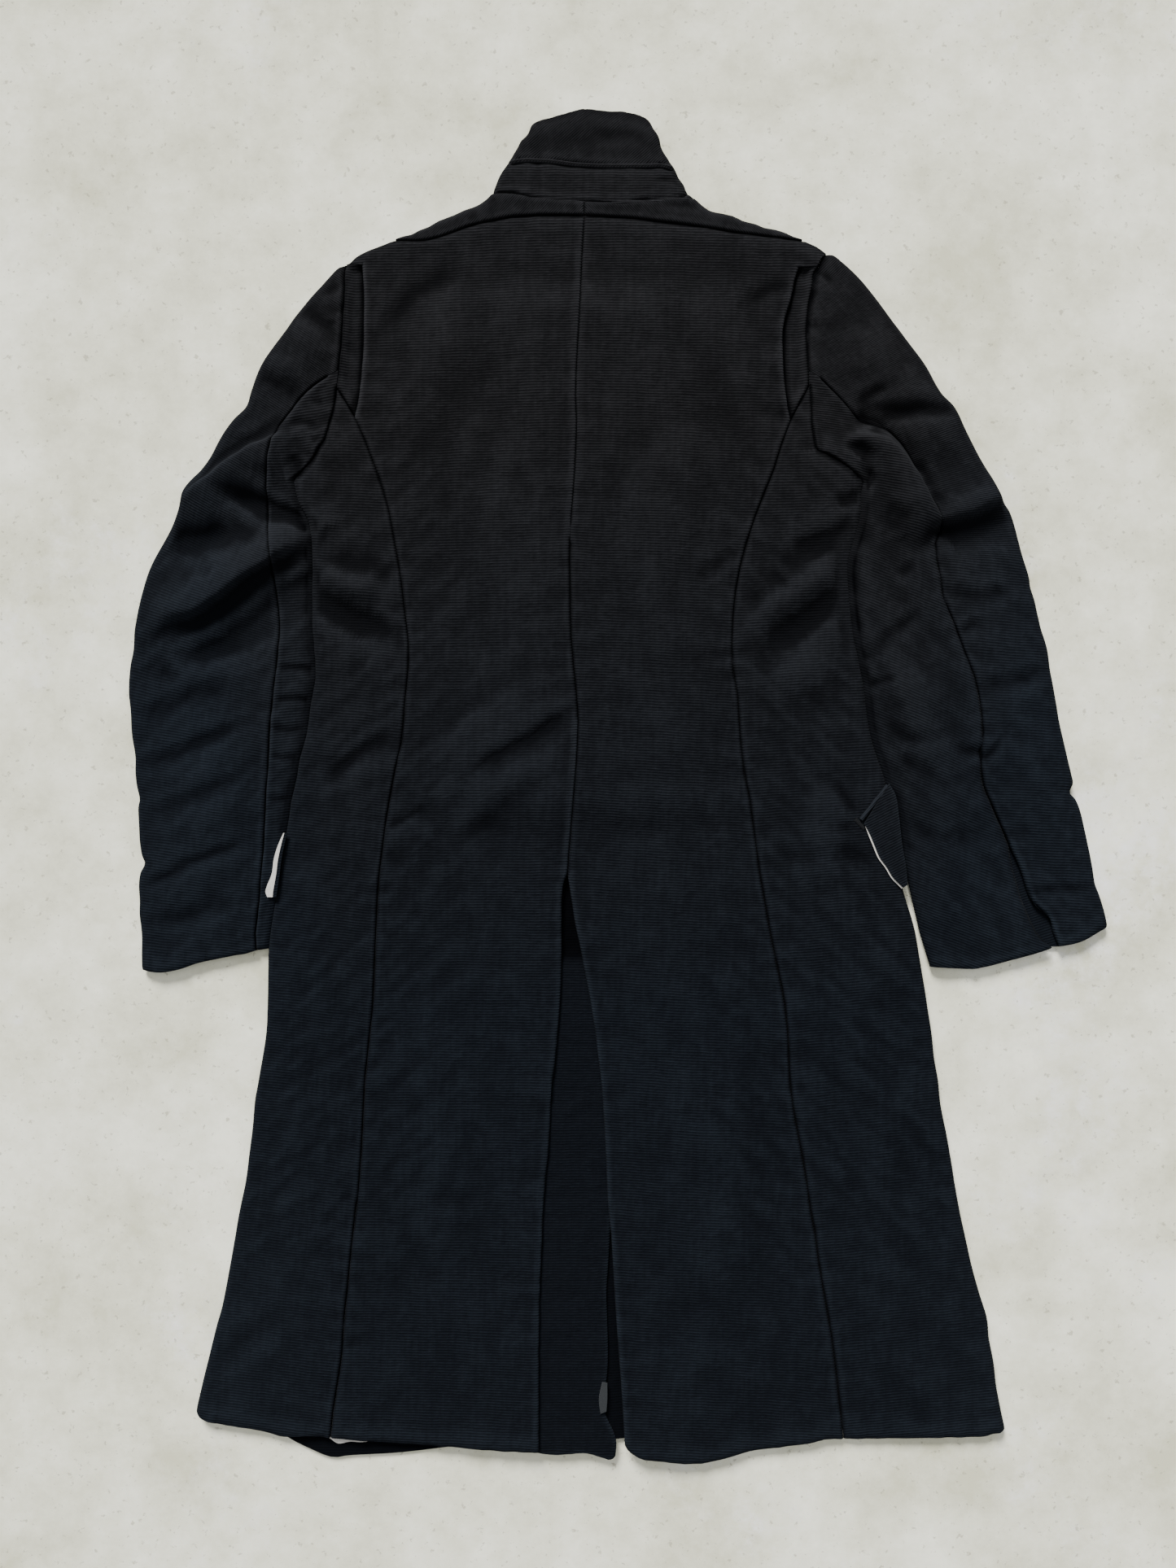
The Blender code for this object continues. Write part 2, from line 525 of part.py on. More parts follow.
# Pleat underlays: at the armhole seam they stand as high as the back, under its fold one layer lower
PLEAT_HIDDEN = 12.0


def pleat_underlay(name, side):
    armhole = join(side.middle[::-1], along(side.head[::-1], HEAD_STEPS))
    toward = 1 if side.left else -1
    hidden = like([tuple(p + (PLEAT_HIDDEN * toward, 0)) for p in side.fold], armhole)
    tip = side.tip[::-1]
    low = join(tip, straight(tip[-1], hidden[0]))
    fold_top = side.fold[-1]
    high = join(straight(armhole[-1], fold_top), straight(fold_top, hidden[-1]))
    net = net_between(side.left, low, high, armhole, hidden, (SEAM, SEAM + 0.2, SEAM, 0))
    sunk = np.ones(len(net))
    sunk[0 if side.left else -1] = 0
    top = height(net[..., 0], net[..., 1]) - (CLOTH + LAYER) * sunk[:, None]
    cloth_piece(name, layer(net, top - CLOTH, top))


pleat_underlay("pleat_left", LEFT)
pleat_underlay("pleat_right", RIGHT)


# Yokes: over the shoulders, down to the seam at the coat's outline
def yoke(name, side):
    low = finer(side.yoke, 2)
    high = join(side.outline, side.stand) if side.left else join(side.stand, side.outline)
    at_arm = straight(low[0], high[0], 2) if side.left else straight(low[-1], high[-1], 2)
    at_centre = straight(low[-1], high[-1], 2) if side.left else straight(low[0], high[0], 2)
    first, last = (at_arm, at_centre) if side.left else (at_centre, at_arm)
    net = coons(low, high, first, last, (SEAM, SEAM, SEAM, SEAM))
    cloth_piece(name, upper(net))


yoke("yoke_left", LEFT)
yoke("yoke_right", RIGHT)


# Collar: stand and fall are each one band that turns round both edges and meets under the coat
COLLAR_ROWS = 3


def collar_band(name, low, high, left_edge, right_edge, gaps):
    """gaps are those at the low and high line."""
    low_in = after(after(low, EDGE_TURN)[::-1], EDGE_TURN)[::-1]
    high_in = after(after(high, EDGE_TURN)[::-1], EDGE_TURN)[::-1]
    left_line = inside_edge(left_edge, -1, low_in[0], high_in[0])
    right_line = inside_edge(right_edge, 1, low_in[-1], high_in[-1])
    net = coons(low_in, high_in, left_line, right_line, gaps + (0, 0))
    middle = len(low) // 2
    stretches = [upper(net)]
    for edge, first in ((left_edge, True), (right_edge, False)):
        tangent = net[0] if first else net[-1]
        edge = edge.copy()
        edge[0] += tangent[0] - (low_in[0] if first else low_in[-1])
        edge[-1] += tangent[-1] - (high_in[0] if first else high_in[-1])
        stretches.append(turned(edge, tangent))
        half = net[:middle + 1].copy() if first else net[middle:].copy()
        half[-1 if first else 0, :, 0] += -SEAM if first else SEAM
        outline = np.vstack((half[:, 0], half[-1, 1:], half[::-1, -1][1:], half[0, 1:-1][::-1]))
        stretches.append(on_floor(outline))
    cloth_piece(name, *stretches)


STAND_LINE = join(LEFT.stand, RIGHT.stand)
WELT_LINE = curve(WELT_SEAM, 2 * YOKE_STEPS)
collar_band("collar_stand", STAND_LINE, WELT_LINE, curve(STAND_EDGE_LEFT, COLLAR_ROWS),
            curve(STAND_EDGE_RIGHT, COLLAR_ROWS), (SEAM, SEAM))
collar_band("collar_fall", WELT_LINE, curve(COLLAR_TOP, 2 * YOKE_STEPS), curve(FALL_EDGE_LEFT, COLLAR_ROWS),
            curve(FALL_EDGE_RIGHT, COLLAR_ROWS), (SEAM, 0))


# The strip between the two rows of stitching that join them lies on both
WELT_WIDTH = 3.6
WELT_THICK = 1.2
welt_line = along(WELT_LINE, 12)[1:-1]
welt = np.array([moved(welt_line, -WELT_WIDTH), moved(welt_line, -WELT_WIDTH / 2), welt_line])
welt_low = height(welt[..., 0], welt[..., 1]) + TOUCH
cloth_piece("collar_welt", layer(welt, welt_low, welt_low + WELT_THICK))


# Fronts: flat on the floor, raised over the buttons, the right one lying over the left in the closure
BAND_WIDTH = 70.0       # the strip along the closure that isn't flat
BAND_COLUMNS = 5
BAND_ROWS = 26
HEM_STEPS = 8
NECK_GAP = 1.2


def y_on(line, x):
    """Where a line that runs along X stands at x."""
    order = np.argsort(line[:, 0])
    return np.interp(x, line[order, 0], line[order, 1])


def front_panel(name, side, hem, reach, lift):
    """reach is the x of the free edge in the closure, lift how high the cloth stands at each place."""
    sign = 1 if side.left else -1
    neck = join(LEFT.stand, RIGHT.stand) - (0, NECK_GAP)
    hem_line = smooth_points((tuple(side.under[0]),) + hem)
    across = np.linspace(reach - sign * BAND_WIDTH, reach, BAND_COLUMNS + 1)
    high = np.column_stack((across, y_on(neck, across)))
    low = np.column_stack((across, y_on(hem_line, across)))
    band_line, free_line = straight(low[0], high[0], BAND_ROWS), straight(low[-1], high[-1], BAND_ROWS)
    net = coons(low, high, band_line, free_line)
    rise = lift(net[..., 0], net[..., 1])
    towards_arm = neck[sign * (neck[:, 0] - across[0]) < -1]
    neck_rest = towards_arm[::-1] if side.left else towards_arm
    armhole = moved(join(side.under, side.armhole_rest), -sign * SEAM)[::-1]
    hem_rest = along(hem_line[sign * (hem_line[:, 0] - across[0]) < -8], HEM_STEPS)[1:]
    outline = np.vstack((net[0], neck_rest, shoulder_down(side)[1:-1], armhole, hem_rest))
    cloth_piece(name, layer(net, rise + CLOTH, rise), on_floor(outline))


def shoulder_down(side):
    """The outline of the shoulder from the collar down to the arm."""
    line = join(side.shoulder, side.outline) if side.left else join(side.outline, side.shoulder)
    return line[::-1] if side.left else line


front_panel("front_left", LEFT, HEM_FRONT_LEFT[1:], CENTRE_FRONT + OVERLAP, button_lift)
front_panel("front_right", RIGHT, HEM_FRONT_RIGHT[::-1][1:], CENTRE_FRONT - OVERLAP, overlap_lift)


# Sleeves: an under sleeve round the inner edge and a top sleeve round the outer one.
# They meet at the back seam on top and at the front seam on the floor.
EDGE_SPLIT = 3           # chords of a sleeve's inner edge for each chord of the body's edge beside it
BESIDE_BODY = 0.8        # how far the sleeve lies from the body's edge
UNDER_COLUMNS = 4
FRONT_SEAM_ROWS = 10
FRONT_SEAM_NODE = 2      # chords of the armhole, from its foot, that the under sleeve takes on the floor
VENT_ROWS = 5

FRONT_SEAM_LEFT = ((-340.0, -149.0), (-332.0, 0.0), (-322.0, 140.0), (-313.0, 235.0), (-295.0, 290.0))
FRONT_SEAM_RIGHT = ((300.0, -160.5), (285.0, -60.0), (262.0, 40.0), (238.0, 150.0), (238.0, 235.0), (222.0, 290.0))
VENT_TOP_RIGHT = ((389.0, -139.5), (384.5, -128.0), (380.5, -115.0), (370.4, -107.0), (360.5, -89.0),
                  (350.7, -62.5), (345.4, -52.0))
VENT_UNDER_RIGHT = ((384.6, -142.5), (379.3, -139.0), (370.4, -129.0), (361.4, -111.0), (355.2, -93.0),
                    (349.0, -71.0), (345.4, -52.0))
INNER_LOW_RIGHT = ((277.5, -159.5), (265.0, -114.0), (257.0, -80.0), (250.8, -50.0), (245.8, -14.0))


def above(line, y):
    """The part of a rising line above y, beginning there."""
    start = np.array((np.interp(y, line[:, 1], line[:, 0]), y))
    return np.vstack((start, line[line[:, 1] > y + 4]))


def sleeve(side, names, inner, outer, seam_top, seam_under, cuff_top, cuff_under, front_seam):
    """inner, outer and the seams run from the cuff up, cuff_top and cuff_under from an edge to the seam."""
    cloth = 1 if side.left else -1
    pit = moved(side.pit[::-1], cloth * SEAM)
    inner_in = moved(inner, cloth * EDGE_TURN)
    cuff_under = along(after(cuff_under, EDGE_TURN), UNDER_COLUMNS)
    inner_in[0] = cuff_under[0]
    inside = join(np.vstack((inner_in, pit[1][None])), pit[1:])
    across = straight(side.pit[0], side.middle[0], UNDER_COLUMNS)
    net = net_between(not side.left, cuff_under, across, inside, seam_under, (0, SEAM, 0, SEAM))
    column_in = net[-1] if side.left else net[0]
    count = len(inner)
    tangent = column_in[:count]
    front = moved(front_seam, -cloth * SEAM)[::-1]
    outline = np.vstack((column_in[:count + FRONT_SEAM_NODE], front[1:]))
    cloth_piece(names[0], upper(net), turned(inner, tangent), on_floor(outline))

    head = after(side.head, EDGE_TURN)
    edge_in = inside_edge(outer, -cloth, cuff_top[0], head[0])
    net = net_between(side.left, finer(cuff_top, 2), finer(head, 2), edge_in, seam_top, (0, SEAM, 0, SEAM))
    tangent = net[0] if side.left else net[-1]
    edge = outer.copy()
    edge[-1] += tangent[-1] - edge_in[-1]
    armhole = moved(join(head, side.middle, side.pit), -cloth * SEAM)[1:-FRONT_SEAM_NODE - 1]
    front = moved(front_seam, cloth * SEAM)[::-1]
    outline = np.vstack((tangent, armhole, front))
    cloth_piece(names[1], upper(net), turned(edge, tangent), on_floor(outline))


def front_line(points, side, cloth):
    """The sleeve's front seam, from the cuff up to the armhole."""
    end = moved(side.pit[::-1], cloth * SEAM)[FRONT_SEAM_NODE]
    return curve(points + (tuple(end),), FRONT_SEAM_ROWS)


beside_left = moved(finer(above(LEFT.edge, -143.2), EDGE_SPLIT), BESIDE_BODY)
rows_left = len(beside_left) - 1 + PIT_STEPS
outer_left = curve(OUTER_LEFT, rows_left)
seam_left = curve(SEAM_SLEEVE_LEFT, rows_left)
cuff_left = curve(CUFF_LEFT, HEAD_STEPS)
sleeve(LEFT, ("under_sleeve_left", "top_sleeve_left"), beside_left, outer_left, seam_left, seam_left,
       after(cuff_left, EDGE_TURN), straight(CUFF_INNER_LEFT[1], CUFF_INNER_LEFT[0], 3),
       front_line(FRONT_SEAM_LEFT, LEFT, 1))

beside_right = moved(finer(above(RIGHT.edge, 10.0), EDGE_SPLIT), -BESIDE_BODY)
beside_right = join(curve(INNER_LOW_RIGHT + (tuple(beside_right[0]),), 9), beside_right)
rows_right = len(beside_right) - 1 + PIT_STEPS
outer_right = curve(OUTER_RIGHT, rows_right)
seam_upper = curve(SEAM_SLEEVE_RIGHT[3:], rows_right - VENT_ROWS)
seam_top_right = join(curve(VENT_TOP_RIGHT, VENT_ROWS), seam_upper)
seam_under_right = join(curve(VENT_UNDER_RIGHT, VENT_ROWS), seam_upper)
cuff_right = curve(((389.0, -139.5),) + CUFF_RIGHT[1:], HEAD_STEPS)[::-1]
sleeve(RIGHT, ("under_sleeve_right", "top_sleeve_right"), beside_right, outer_right, seam_top_right,
       seam_under_right, after(cuff_right, EDGE_TURN), smooth_points(CUFF_INNER_RIGHT[:-1] + ((384.6, -142.5),)),
       front_line(FRONT_SEAM_RIGHT, RIGHT, -1))


def under_layer(name, net, air):
    """A piece that lies below the upper layer, with air between them."""
    top = height(net[..., 0], net[..., 1]) - CLOTH - air
    cloth_piece(name, layer(net, top - CLOTH, top))


# Facing inside the open vent of the right cuff
FACING_REACH = 8.0
facing_low = moved(seam_under_right[:VENT_ROWS + 1], FACING_REACH)
facing_high = moved(seam_top_right[:VENT_ROWS + 1], -FACING_REACH)
under_layer("cuff_facing_right", coons(straight(facing_low[0], facing_high[0], 2),
                                       straight(facing_low[-1], facing_high[-1], 2), facing_low, facing_high),
            LAYER)

# Vent underlay: fixed under the left back, its own edge bare between the two backs
UNDERLAY_LEFT = ((-86.0, -585.0), (-84.0, -400.0), (-78.0, -200.0), (-66.0, 60.0))
UNDERLAY_RIGHT = ((-2.4, -592.5), (-2.6, -577.0), (-12.5, -550.0), (-11.5, -524.0), (-9.1, -490.0),
                  (-9.4, -426.0), (-4.0, -340.0), (-6.0, -200.0), (-18.0, 60.0))
UNDERLAY_HEM = ((-86.0, -585.0), (-69.8, -589.5), (-28.0, -589.5), (-13.0, -593.5), (-2.4, -592.5))
under_layer("vent_underlay", coons(curve(UNDERLAY_HEM, 5), straight(UNDERLAY_LEFT[-1], UNDERLAY_RIGHT[-1], 5),
                                   curve(UNDERLAY_LEFT, 16), curve(UNDERLAY_RIGHT, 16)), VENT_LAYER)

# Linings, only where they show
LINING = 1.0
lining_net = coons(straight((-15.6, -553.0), (-9.5, -551.0), 2), straight((-15.0, -525.0), (-10.2, -526.0), 2),
                   curve(((-15.6, -553.0), (-17.0, -541.0), (-15.0, -525.0)), 3),
                   curve(((-9.5, -551.0), (-7.6, -540.0), (-10.2, -526.0)), 3))
lining_low = height(lining_net[..., 0], lining_net[..., 1]) - CLOTH - VENT_LAYER + TOUCH
cloth_piece("vent_lining", layer(lining_net, lining_low, lining_low + LINING), look=GREY)

HEM_LINING_LOW = ((-263.0, -574.0), (-250.0, -577.5), (-246.5, -583.5), (-234.0, -582.9), (-226.0, -580.5),
                  (-214.0, -581.0))
hem_low = curve(HEM_LINING_LOW, 6)
hem_high = straight((-264.0, -560.0), (-213.0, -562.0), 6)
hem_net = coons(hem_low, hem_high, straight(hem_low[0], hem_high[0]), straight(hem_low[-1], hem_high[-1]))
cloth_piece("hem_lining", layer(hem_net, CLOTH + TOUCH, CLOTH + TOUCH + LINING), look=PALE)

# Right pocket: a welt at its mouth, and a flap with a pale lining that hangs over the coat's edge
FLAP_LEFT_EDGE = ((251.0, -89.0), (241.8, -80.0), (233.0, -66.0), (225.7, -52.0), (216.5, -32.5))
FLAP_RIGHT_EDGE = ((254.8, -86.0), (253.4, -71.0), (249.8, -50.0), (247.0, -25.0), (240.6, -7.0))
FLAP_COLUMNS = 3
FLAP_ROWS = 5
FLAP_CLOTH = 2.0
LINING_SHOWS = 2.6


def flap_net(left_edge, right_edge, margin):
    """A flap between its two long edges, which run up to its seam."""
    left = moved(curve(left_edge, FLAP_ROWS), margin)
    right = curve(right_edge, FLAP_ROWS)
    return coons(straight(left[0], right[0], FLAP_COLUMNS), straight(left[-1], right[-1], FLAP_COLUMNS), left, right)


def over_edge(net, limit):
    """Height of what hangs over an edge of the coat: that of the cloth at the edge's inner side."""
    return height(np.minimum(net[..., 0], limit), net[..., 1])


flap = flap_net(FLAP_LEFT_EDGE, FLAP_RIGHT_EDGE, 0.0)
flap_rise = over_edge(flap, 236.0) + TOUCH + LINING + TOUCH
cloth_piece("pocket_flap_right", layer(flap, flap_rise, flap_rise + FLAP_CLOTH))
flap_lining = flap_net(FLAP_LEFT_EDGE[:-1] + ((219.0, -35.0),), FLAP_RIGHT_EDGE, LINING_SHOWS)
lining_rise = over_edge(flap_lining, 236.0) + TOUCH
cloth_piece("pocket_flap_lining_right", layer(flap_lining, lining_rise, lining_rise + LINING), look=PALE)

WELT_MOUTH = straight((213.6, -28.0), (237.5, -1.2), 4)
welt_net = np.array([moved(WELT_MOUTH, side) for side in (-1.4, 1.6)])
welt_rise = over_edge(welt_net, 236.0) + TOUCH
cloth_piece("pocket_welt_right", layer(welt_net, welt_rise, welt_rise + 1.5))

# Left pocket: only the edge of its flap shows between the body and the sleeve
TONGUE_OUT = ((-309.5, -97.0), (-310.6, -90.0), (-306.0, -77.0), (-304.2, -64.0), (-300.4, -52.0), (-296.5, -42.0))
TONGUE_IN = ((-304.0, -97.5), (-302.2, -88.0), (-300.5, -77.0), (-298.2, -64.0), (-296.0, -52.0), (-294.0, -41.0))


def over_left_edge(net):
    return height(np.minimum(net[..., 0], -312.0), net[..., 1]) + TOUCH


tongue_out, tongue_in = curve(TONGUE_OUT, 6), curve(TONGUE_IN, 6)
tongue = coons(straight(tongue_out[0], tongue_in[0], 2), straight(tongue_out[-1], tongue_in[-1], 2),
               tongue_out, tongue_in)
tongue_low = over_left_edge(tongue)
cloth_piece("pocket_flap_lining_left", layer(tongue, tongue_low, tongue_low + LINING), look=PALE)
cover_out = tongue_out + (tongue_in - tongue_out) * 0.62
cover_in = tongue_in + (1.8, 0.0)
cover = coons(straight(cover_out[0], cover_in[0], 2), straight(cover_out[-1], cover_in[-1], 2), cover_out, cover_in)
cover_low = over_left_edge(cover) + LINING + TOUCH
cloth_piece("pocket_flap_left", layer(cover, cover_low, cover_low + 1.5))


# Buttons of the closure, under the left front
def button(name, y):
    bpy.ops.mesh.primitive_cylinder_add(vertices=20, radius=BUTTON_WIDTH / 2 * MM, depth=BUTTON_THICK * MM,
                                        location=(CENTRE_FRONT * MM, y * MM, BUTTON_THICK / 2 * MM))
    disc = bpy.context.object
    disc.name = disc.data.name = name
    bevel = disc.modifiers.new("rounded rim", "BEVEL")
    bevel.width = 0.5 * MM
    bevel.segments = 1
    bevel.limit_method = "ANGLE"
    for k, (side, up) in enumerate(((-1, -1), (1, -1), (1, 1), (-1, 1))):
        bpy.ops.mesh.primitive_cylinder_add(vertices=6, radius=1.1 * MM, depth=3 * BUTTON_THICK * MM, location=(
            (CENTRE_FRONT + side * 2.4) * MM, (y + up * 2.4) * MM, BUTTON_THICK / 2 * MM))
        hole = bpy.context.object
        hole.name = f"{name}_hole_{k}"
        hole.hide_render = True
        hole.display_type = "WIRE"
        move_to(hole, CUTTERS)
        cut = disc.modifiers.new(f"hole {k}", "BOOLEAN")
        cut.operation = "DIFFERENCE"
        cut.object = hole
    move_to(disc, COAT)
    finish(disc, BUTTON)


def move_to(thing, collection):
    for old_home in list(thing.users_collection):
        old_home.objects.unlink(thing)
    collection.objects.link(thing)


CUTTERS = bpy.data.collections.new("cutters")
bpy.context.scene.collection.children.link(CUTTERS)
for number in range(BUTTON_COUNT):
    button(f"button_{number + 1}", BUTTON_TOP - BUTTON_STEP * number)
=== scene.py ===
"""Long coat of thick black ribbed cotton, laid face down: its cloth, linings, stitching and finish.

Seen from above: +X is to the right, +Y towards the collar. Lines and tables are in millimetres."""

import json
import math
from collections import namedtuple

import bmesh
import bpy
import numpy as np
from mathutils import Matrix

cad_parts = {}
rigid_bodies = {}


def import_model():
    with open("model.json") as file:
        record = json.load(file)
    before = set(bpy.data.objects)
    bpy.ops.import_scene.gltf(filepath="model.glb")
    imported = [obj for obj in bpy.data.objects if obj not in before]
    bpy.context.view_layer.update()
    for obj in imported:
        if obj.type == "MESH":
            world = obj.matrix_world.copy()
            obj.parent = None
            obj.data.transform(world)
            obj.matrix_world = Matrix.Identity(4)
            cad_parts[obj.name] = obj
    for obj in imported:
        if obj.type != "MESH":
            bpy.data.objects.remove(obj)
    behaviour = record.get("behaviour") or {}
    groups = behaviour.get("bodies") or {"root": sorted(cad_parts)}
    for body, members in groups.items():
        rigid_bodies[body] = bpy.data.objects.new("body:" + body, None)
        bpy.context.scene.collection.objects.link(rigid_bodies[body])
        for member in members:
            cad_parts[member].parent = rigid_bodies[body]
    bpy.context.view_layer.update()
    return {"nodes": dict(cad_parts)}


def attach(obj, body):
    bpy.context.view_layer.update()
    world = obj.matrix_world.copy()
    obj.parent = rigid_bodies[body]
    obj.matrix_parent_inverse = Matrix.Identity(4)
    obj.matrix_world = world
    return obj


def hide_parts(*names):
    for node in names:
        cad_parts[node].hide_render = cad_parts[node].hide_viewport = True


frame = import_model()


# Where the coat is looked at: it lies on pale concrete, under a soft lamp beyond the collar,
# with the camera straight above it.
IMAGE = (1445, 1927)
MM_PER_PIXEL = 0.72
LENS, SENSOR = 26.0, 34.6
CAMERA_PLACE = (-0.0266, 0.0022)       # in plan, in metres
FACE_HEIGHT = 0.006    # height in metres at which a pixel is as wide as given above
FLOOR_DROP = 0.0004    # keeps the floor's face just below the cloth's


def linear(code):
    """An sRGB hex colour as linear values."""
    parts = [int(code[k:k + 2], 16) / 255 for k in (1, 3, 5)]
    return tuple(p / 12.92 if p <= 0.04045 else ((p + 0.055) / 1.055) ** 2.4 for p in parts) + (1.0,)


def add(tree, kind, inputs=(), **settings):
    """Adds a node. inputs gives each socket a value, or the output that feeds it."""
    node = tree.nodes.new(kind)
    for key, value in settings.items():
        setattr(node, key, value)
    for key, value in dict(inputs).items():
        if isinstance(value, bpy.types.NodeSocket):
            tree.links.new(value, node.inputs[key])
        else:
            node.inputs[key].default_value = value
    return node


def maths(tree, operation, *values, clamp=False):
    """The result of arithmetic on values, or on the outputs that give them."""
    node = add(tree, "ShaderNodeMath", dict(enumerate(values)), operation=operation, use_clamp=clamp)
    return node.outputs[0]


def mixed(tree, factor, first, second):
    """The colour between two, each an sRGB hex colour or the output that gives it."""
    first, second = (linear(end) if isinstance(end, str) else end for end in (first, second))
    node = add(tree, "ShaderNodeMix", {"Factor": factor, "A": first, "B": second}, data_type="RGBA")
    return node.outputs[2]


def new_material(name):
    material = bpy.data.materials.new(name)
    material.use_nodes = True
    material.node_tree.nodes.clear()
    return material, material.node_tree


def shader(tree, colour, roughness, sheen=0.0, specular=0.5, normal=None, tint="#ffffff"):
    """The surface itself: its constants stand on the shader's own sockets."""
    inputs = {"Base Color": colour, "Roughness": roughness, "Metallic": 0.0, "IOR": 1.5,
              "Specular IOR Level": specular, "Sheen Weight": sheen, "Sheen Roughness": 0.5,
              "Sheen Tint": linear(tint)}
    if normal:
        inputs["Normal"] = normal
    surface = add(tree, "ShaderNodeBsdfPrincipled", inputs)
    add(tree, "ShaderNodeOutputMaterial", {"Surface": surface.outputs["BSDF"]})


def concrete():
    """Worn pale concrete: matt, with cloudy patches, chalky smears and small dark pits."""
    material, tree = new_material("worn pale concrete")
    place = add(tree, "ShaderNodeTexCoord").outputs["Object"]

    def patches(size, detail, low, high):
        noise = add(tree, "ShaderNodeTexNoise", {"Vector": place, "Scale": 1 / size, "Detail": detail,
                                                 "Roughness": 0.7}).outputs["Fac"]
        return add(tree, "ShaderNodeMapRange", {"Value": noise, "From Min": low, "From Max": high}).outputs[0]

    colour = mixed(tree, patches(0.13, 10.0, 0.36, 0.64), "#d2d0b4", "#fffeea")
    chalk = maths(tree, "MULTIPLY", patches(0.3, 8.0, 0.54, 0.62), patches(0.02, 6.0, 0.4, 0.7))
    colour = mixed(tree, chalk, colour, "#fbfaf4")
    pits = maths(tree, "MULTIPLY", patches(0.007, 3.0, 0.62, 0.68), 0.5)
    colour = mixed(tree, pits, colour, "#8f8873")
    bump = add(tree, "ShaderNodeBump", {"Height": patches(0.006, 3.0, 0.0, 1.0), "Distance": 0.0003,
                                        "Strength": 0.2})
    shader(tree, colour, 0.9, specular=0.3, normal=bump.outputs["Normal"])
    return material


bpy.ops.mesh.primitive_plane_add(size=9)
floor = bpy.context.object
floor.name = "pale_floor"
floor.data.materials.append(concrete())
for corner in floor.data.vertices:
    corner.co.z = -FLOOR_DROP

camera_data = bpy.data.cameras.new("camera")
camera_data.sensor_fit = "VERTICAL"
camera_data.sensor_height = SENSOR
camera_data.lens = LENS
camera_data.clip_start = 0.05
camera = bpy.data.objects.new("camera", camera_data)
camera.location = CAMERA_PLACE + (IMAGE[1] * MM_PER_PIXEL / 1000 * LENS / SENSOR + FACE_HEIGHT,)
bpy.context.scene.collection.objects.link(camera)
bpy.context.scene.camera = camera

for name, place, softness, power in (("soft key lamp", (-0.3, 1.0, 0.6), 20, 7.4),
                                     ("soft fill lamp", (0.2, 0.2, 1.6), 60, 0.6)):
    data = bpy.data.lights.new(name, "SUN")
    data.angle, data.energy = math.radians(softness), power
    lamp = bpy.data.objects.new(name, data)
    lamp.location = place
    away = np.array(place) / np.linalg.norm(place)
    lamp.rotation_euler = (math.acos(away[2]), 0, math.atan2(away[0], -away[1]))
    bpy.context.scene.collection.objects.link(lamp)
world = bpy.data.worlds.new("plain pale surroundings")
world.use_nodes = True
world.node_tree.nodes["Background"].inputs["Color"].default_value = linear("#e6e9ee")
world.node_tree.nodes["Background"].inputs["Strength"].default_value = 0.5
bpy.context.scene.world = world


# The two back panels, of garment-washed black ribbed cotton about 2.5 mm thick. They are sewn together
# down the centre back as far as the vent, where each has its own pressed edge, and up to the yokes.
CLOTH = 2.5
REST_HEIGHT = 8.8      # top of the two flat layers, away from folds
SEAM = 0.15            # half of the gap at a seam
LAYER = 0.6            # air between a layer and the one lying on it
VENT_LAYER = 1.3
CLOSURE_AIR = 1.4
EDGE_TURN = 6.0        # how far in plan the cloth takes to turn round an edge
CENTRE_FRONT, OVERLAP = -33.0, 20.0
BUTTON_WIDTH, BUTTON_THICK = 22.0, 3.0
BUTTON_TOP, BUTTON_STEP, BUTTON_COUNT = 400.0, 95.0, 5
RIB = 2.4              # from rib to rib

CENTRE_SEAM = ((-44.8, -76.8), (-44, -66), (-42.6, -49), (-40.5, -24), (-39, -3), (-37, 18), (-35.9, 39),
               (-35.3, 61), (-36.3, 78), (-38, 95), (-40, 116), (-41.6, 139), (-42.2, 171), (-42.4, 200),
               (-42, 225), (-40.5, 246), (-38.6, 269.5), (-37.4, 293), (-36.5, 318), (-37.4, 343), (-37, 360),
               (-34, 415), (-31.6, 470), (-29.7, 502.4))
VENT_LEFT = ((-69.8, -586.6), (-69.8, -501), (-69.3, -467), (-68.6, -434), (-66.8, -398), (-65.6, -363),
             (-62.9, -336), (-59.9, -301), (-58.3, -260), (-56.5, -251), (-53.8, -224), (-51.7, -199),
             (-50, -171), (-49.6, -140), (-49.6, -108), (-48.5, -87), (-44.8, -76.8))
VENT_RIGHT = ((5.6, -580), (4.3, -555), (2.1, -522), (-0.5, -488), (-2.9, -453), (-4.5, -426),
              (-6.4, -394), (-9.1, -367), (-10.4, -340), (-12.3, -300), (-15, -260), (-17, -245),
              (-19, -227), (-22.2, -204), (-25.4, -184), (-29.6, -163), (-33.8, -140), (-38, -121),
              (-41.2, -100), (-44.8, -76.8))
PRINCESS_LEFT = ((-254, -575.5), (-252.7, -561), (-250, -540), (-245.8, -515), (-243.5, -496),
                 (-242.4, -473), (-239.6, -450), (-237.3, -425), (-234.4, -398), (-232.7, -379),
                 (-229.8, -363), (-228.6, -347), (-226.5, -320), (-225.2, -290), (-223.6, -260),
                 (-221.5, -239), (-219.4, -218), (-216.9, -197), (-214.8, -150), (-213.7, -125),
                 (-212.7, -100), (-210.6, -75), (-207.4, -49), (-204.7, -28), (-201, -7), (-197.9, 9.5),
                 (-193.7, 30.5), (-190, 45), (-189, 67), (-187.4, 84), (-185.7, 101), (-184.9, 118),
                 (-186.4, 139), (-189.1, 160), (-191, 179), (-193.7, 196), (-196.9, 213), (-200, 231.6),
                 (-203.2, 246.4), (-207.4, 261), (-212.7, 277), (-219, 292.7), (-226.3, 312.7),
                 (-233, 326.3))
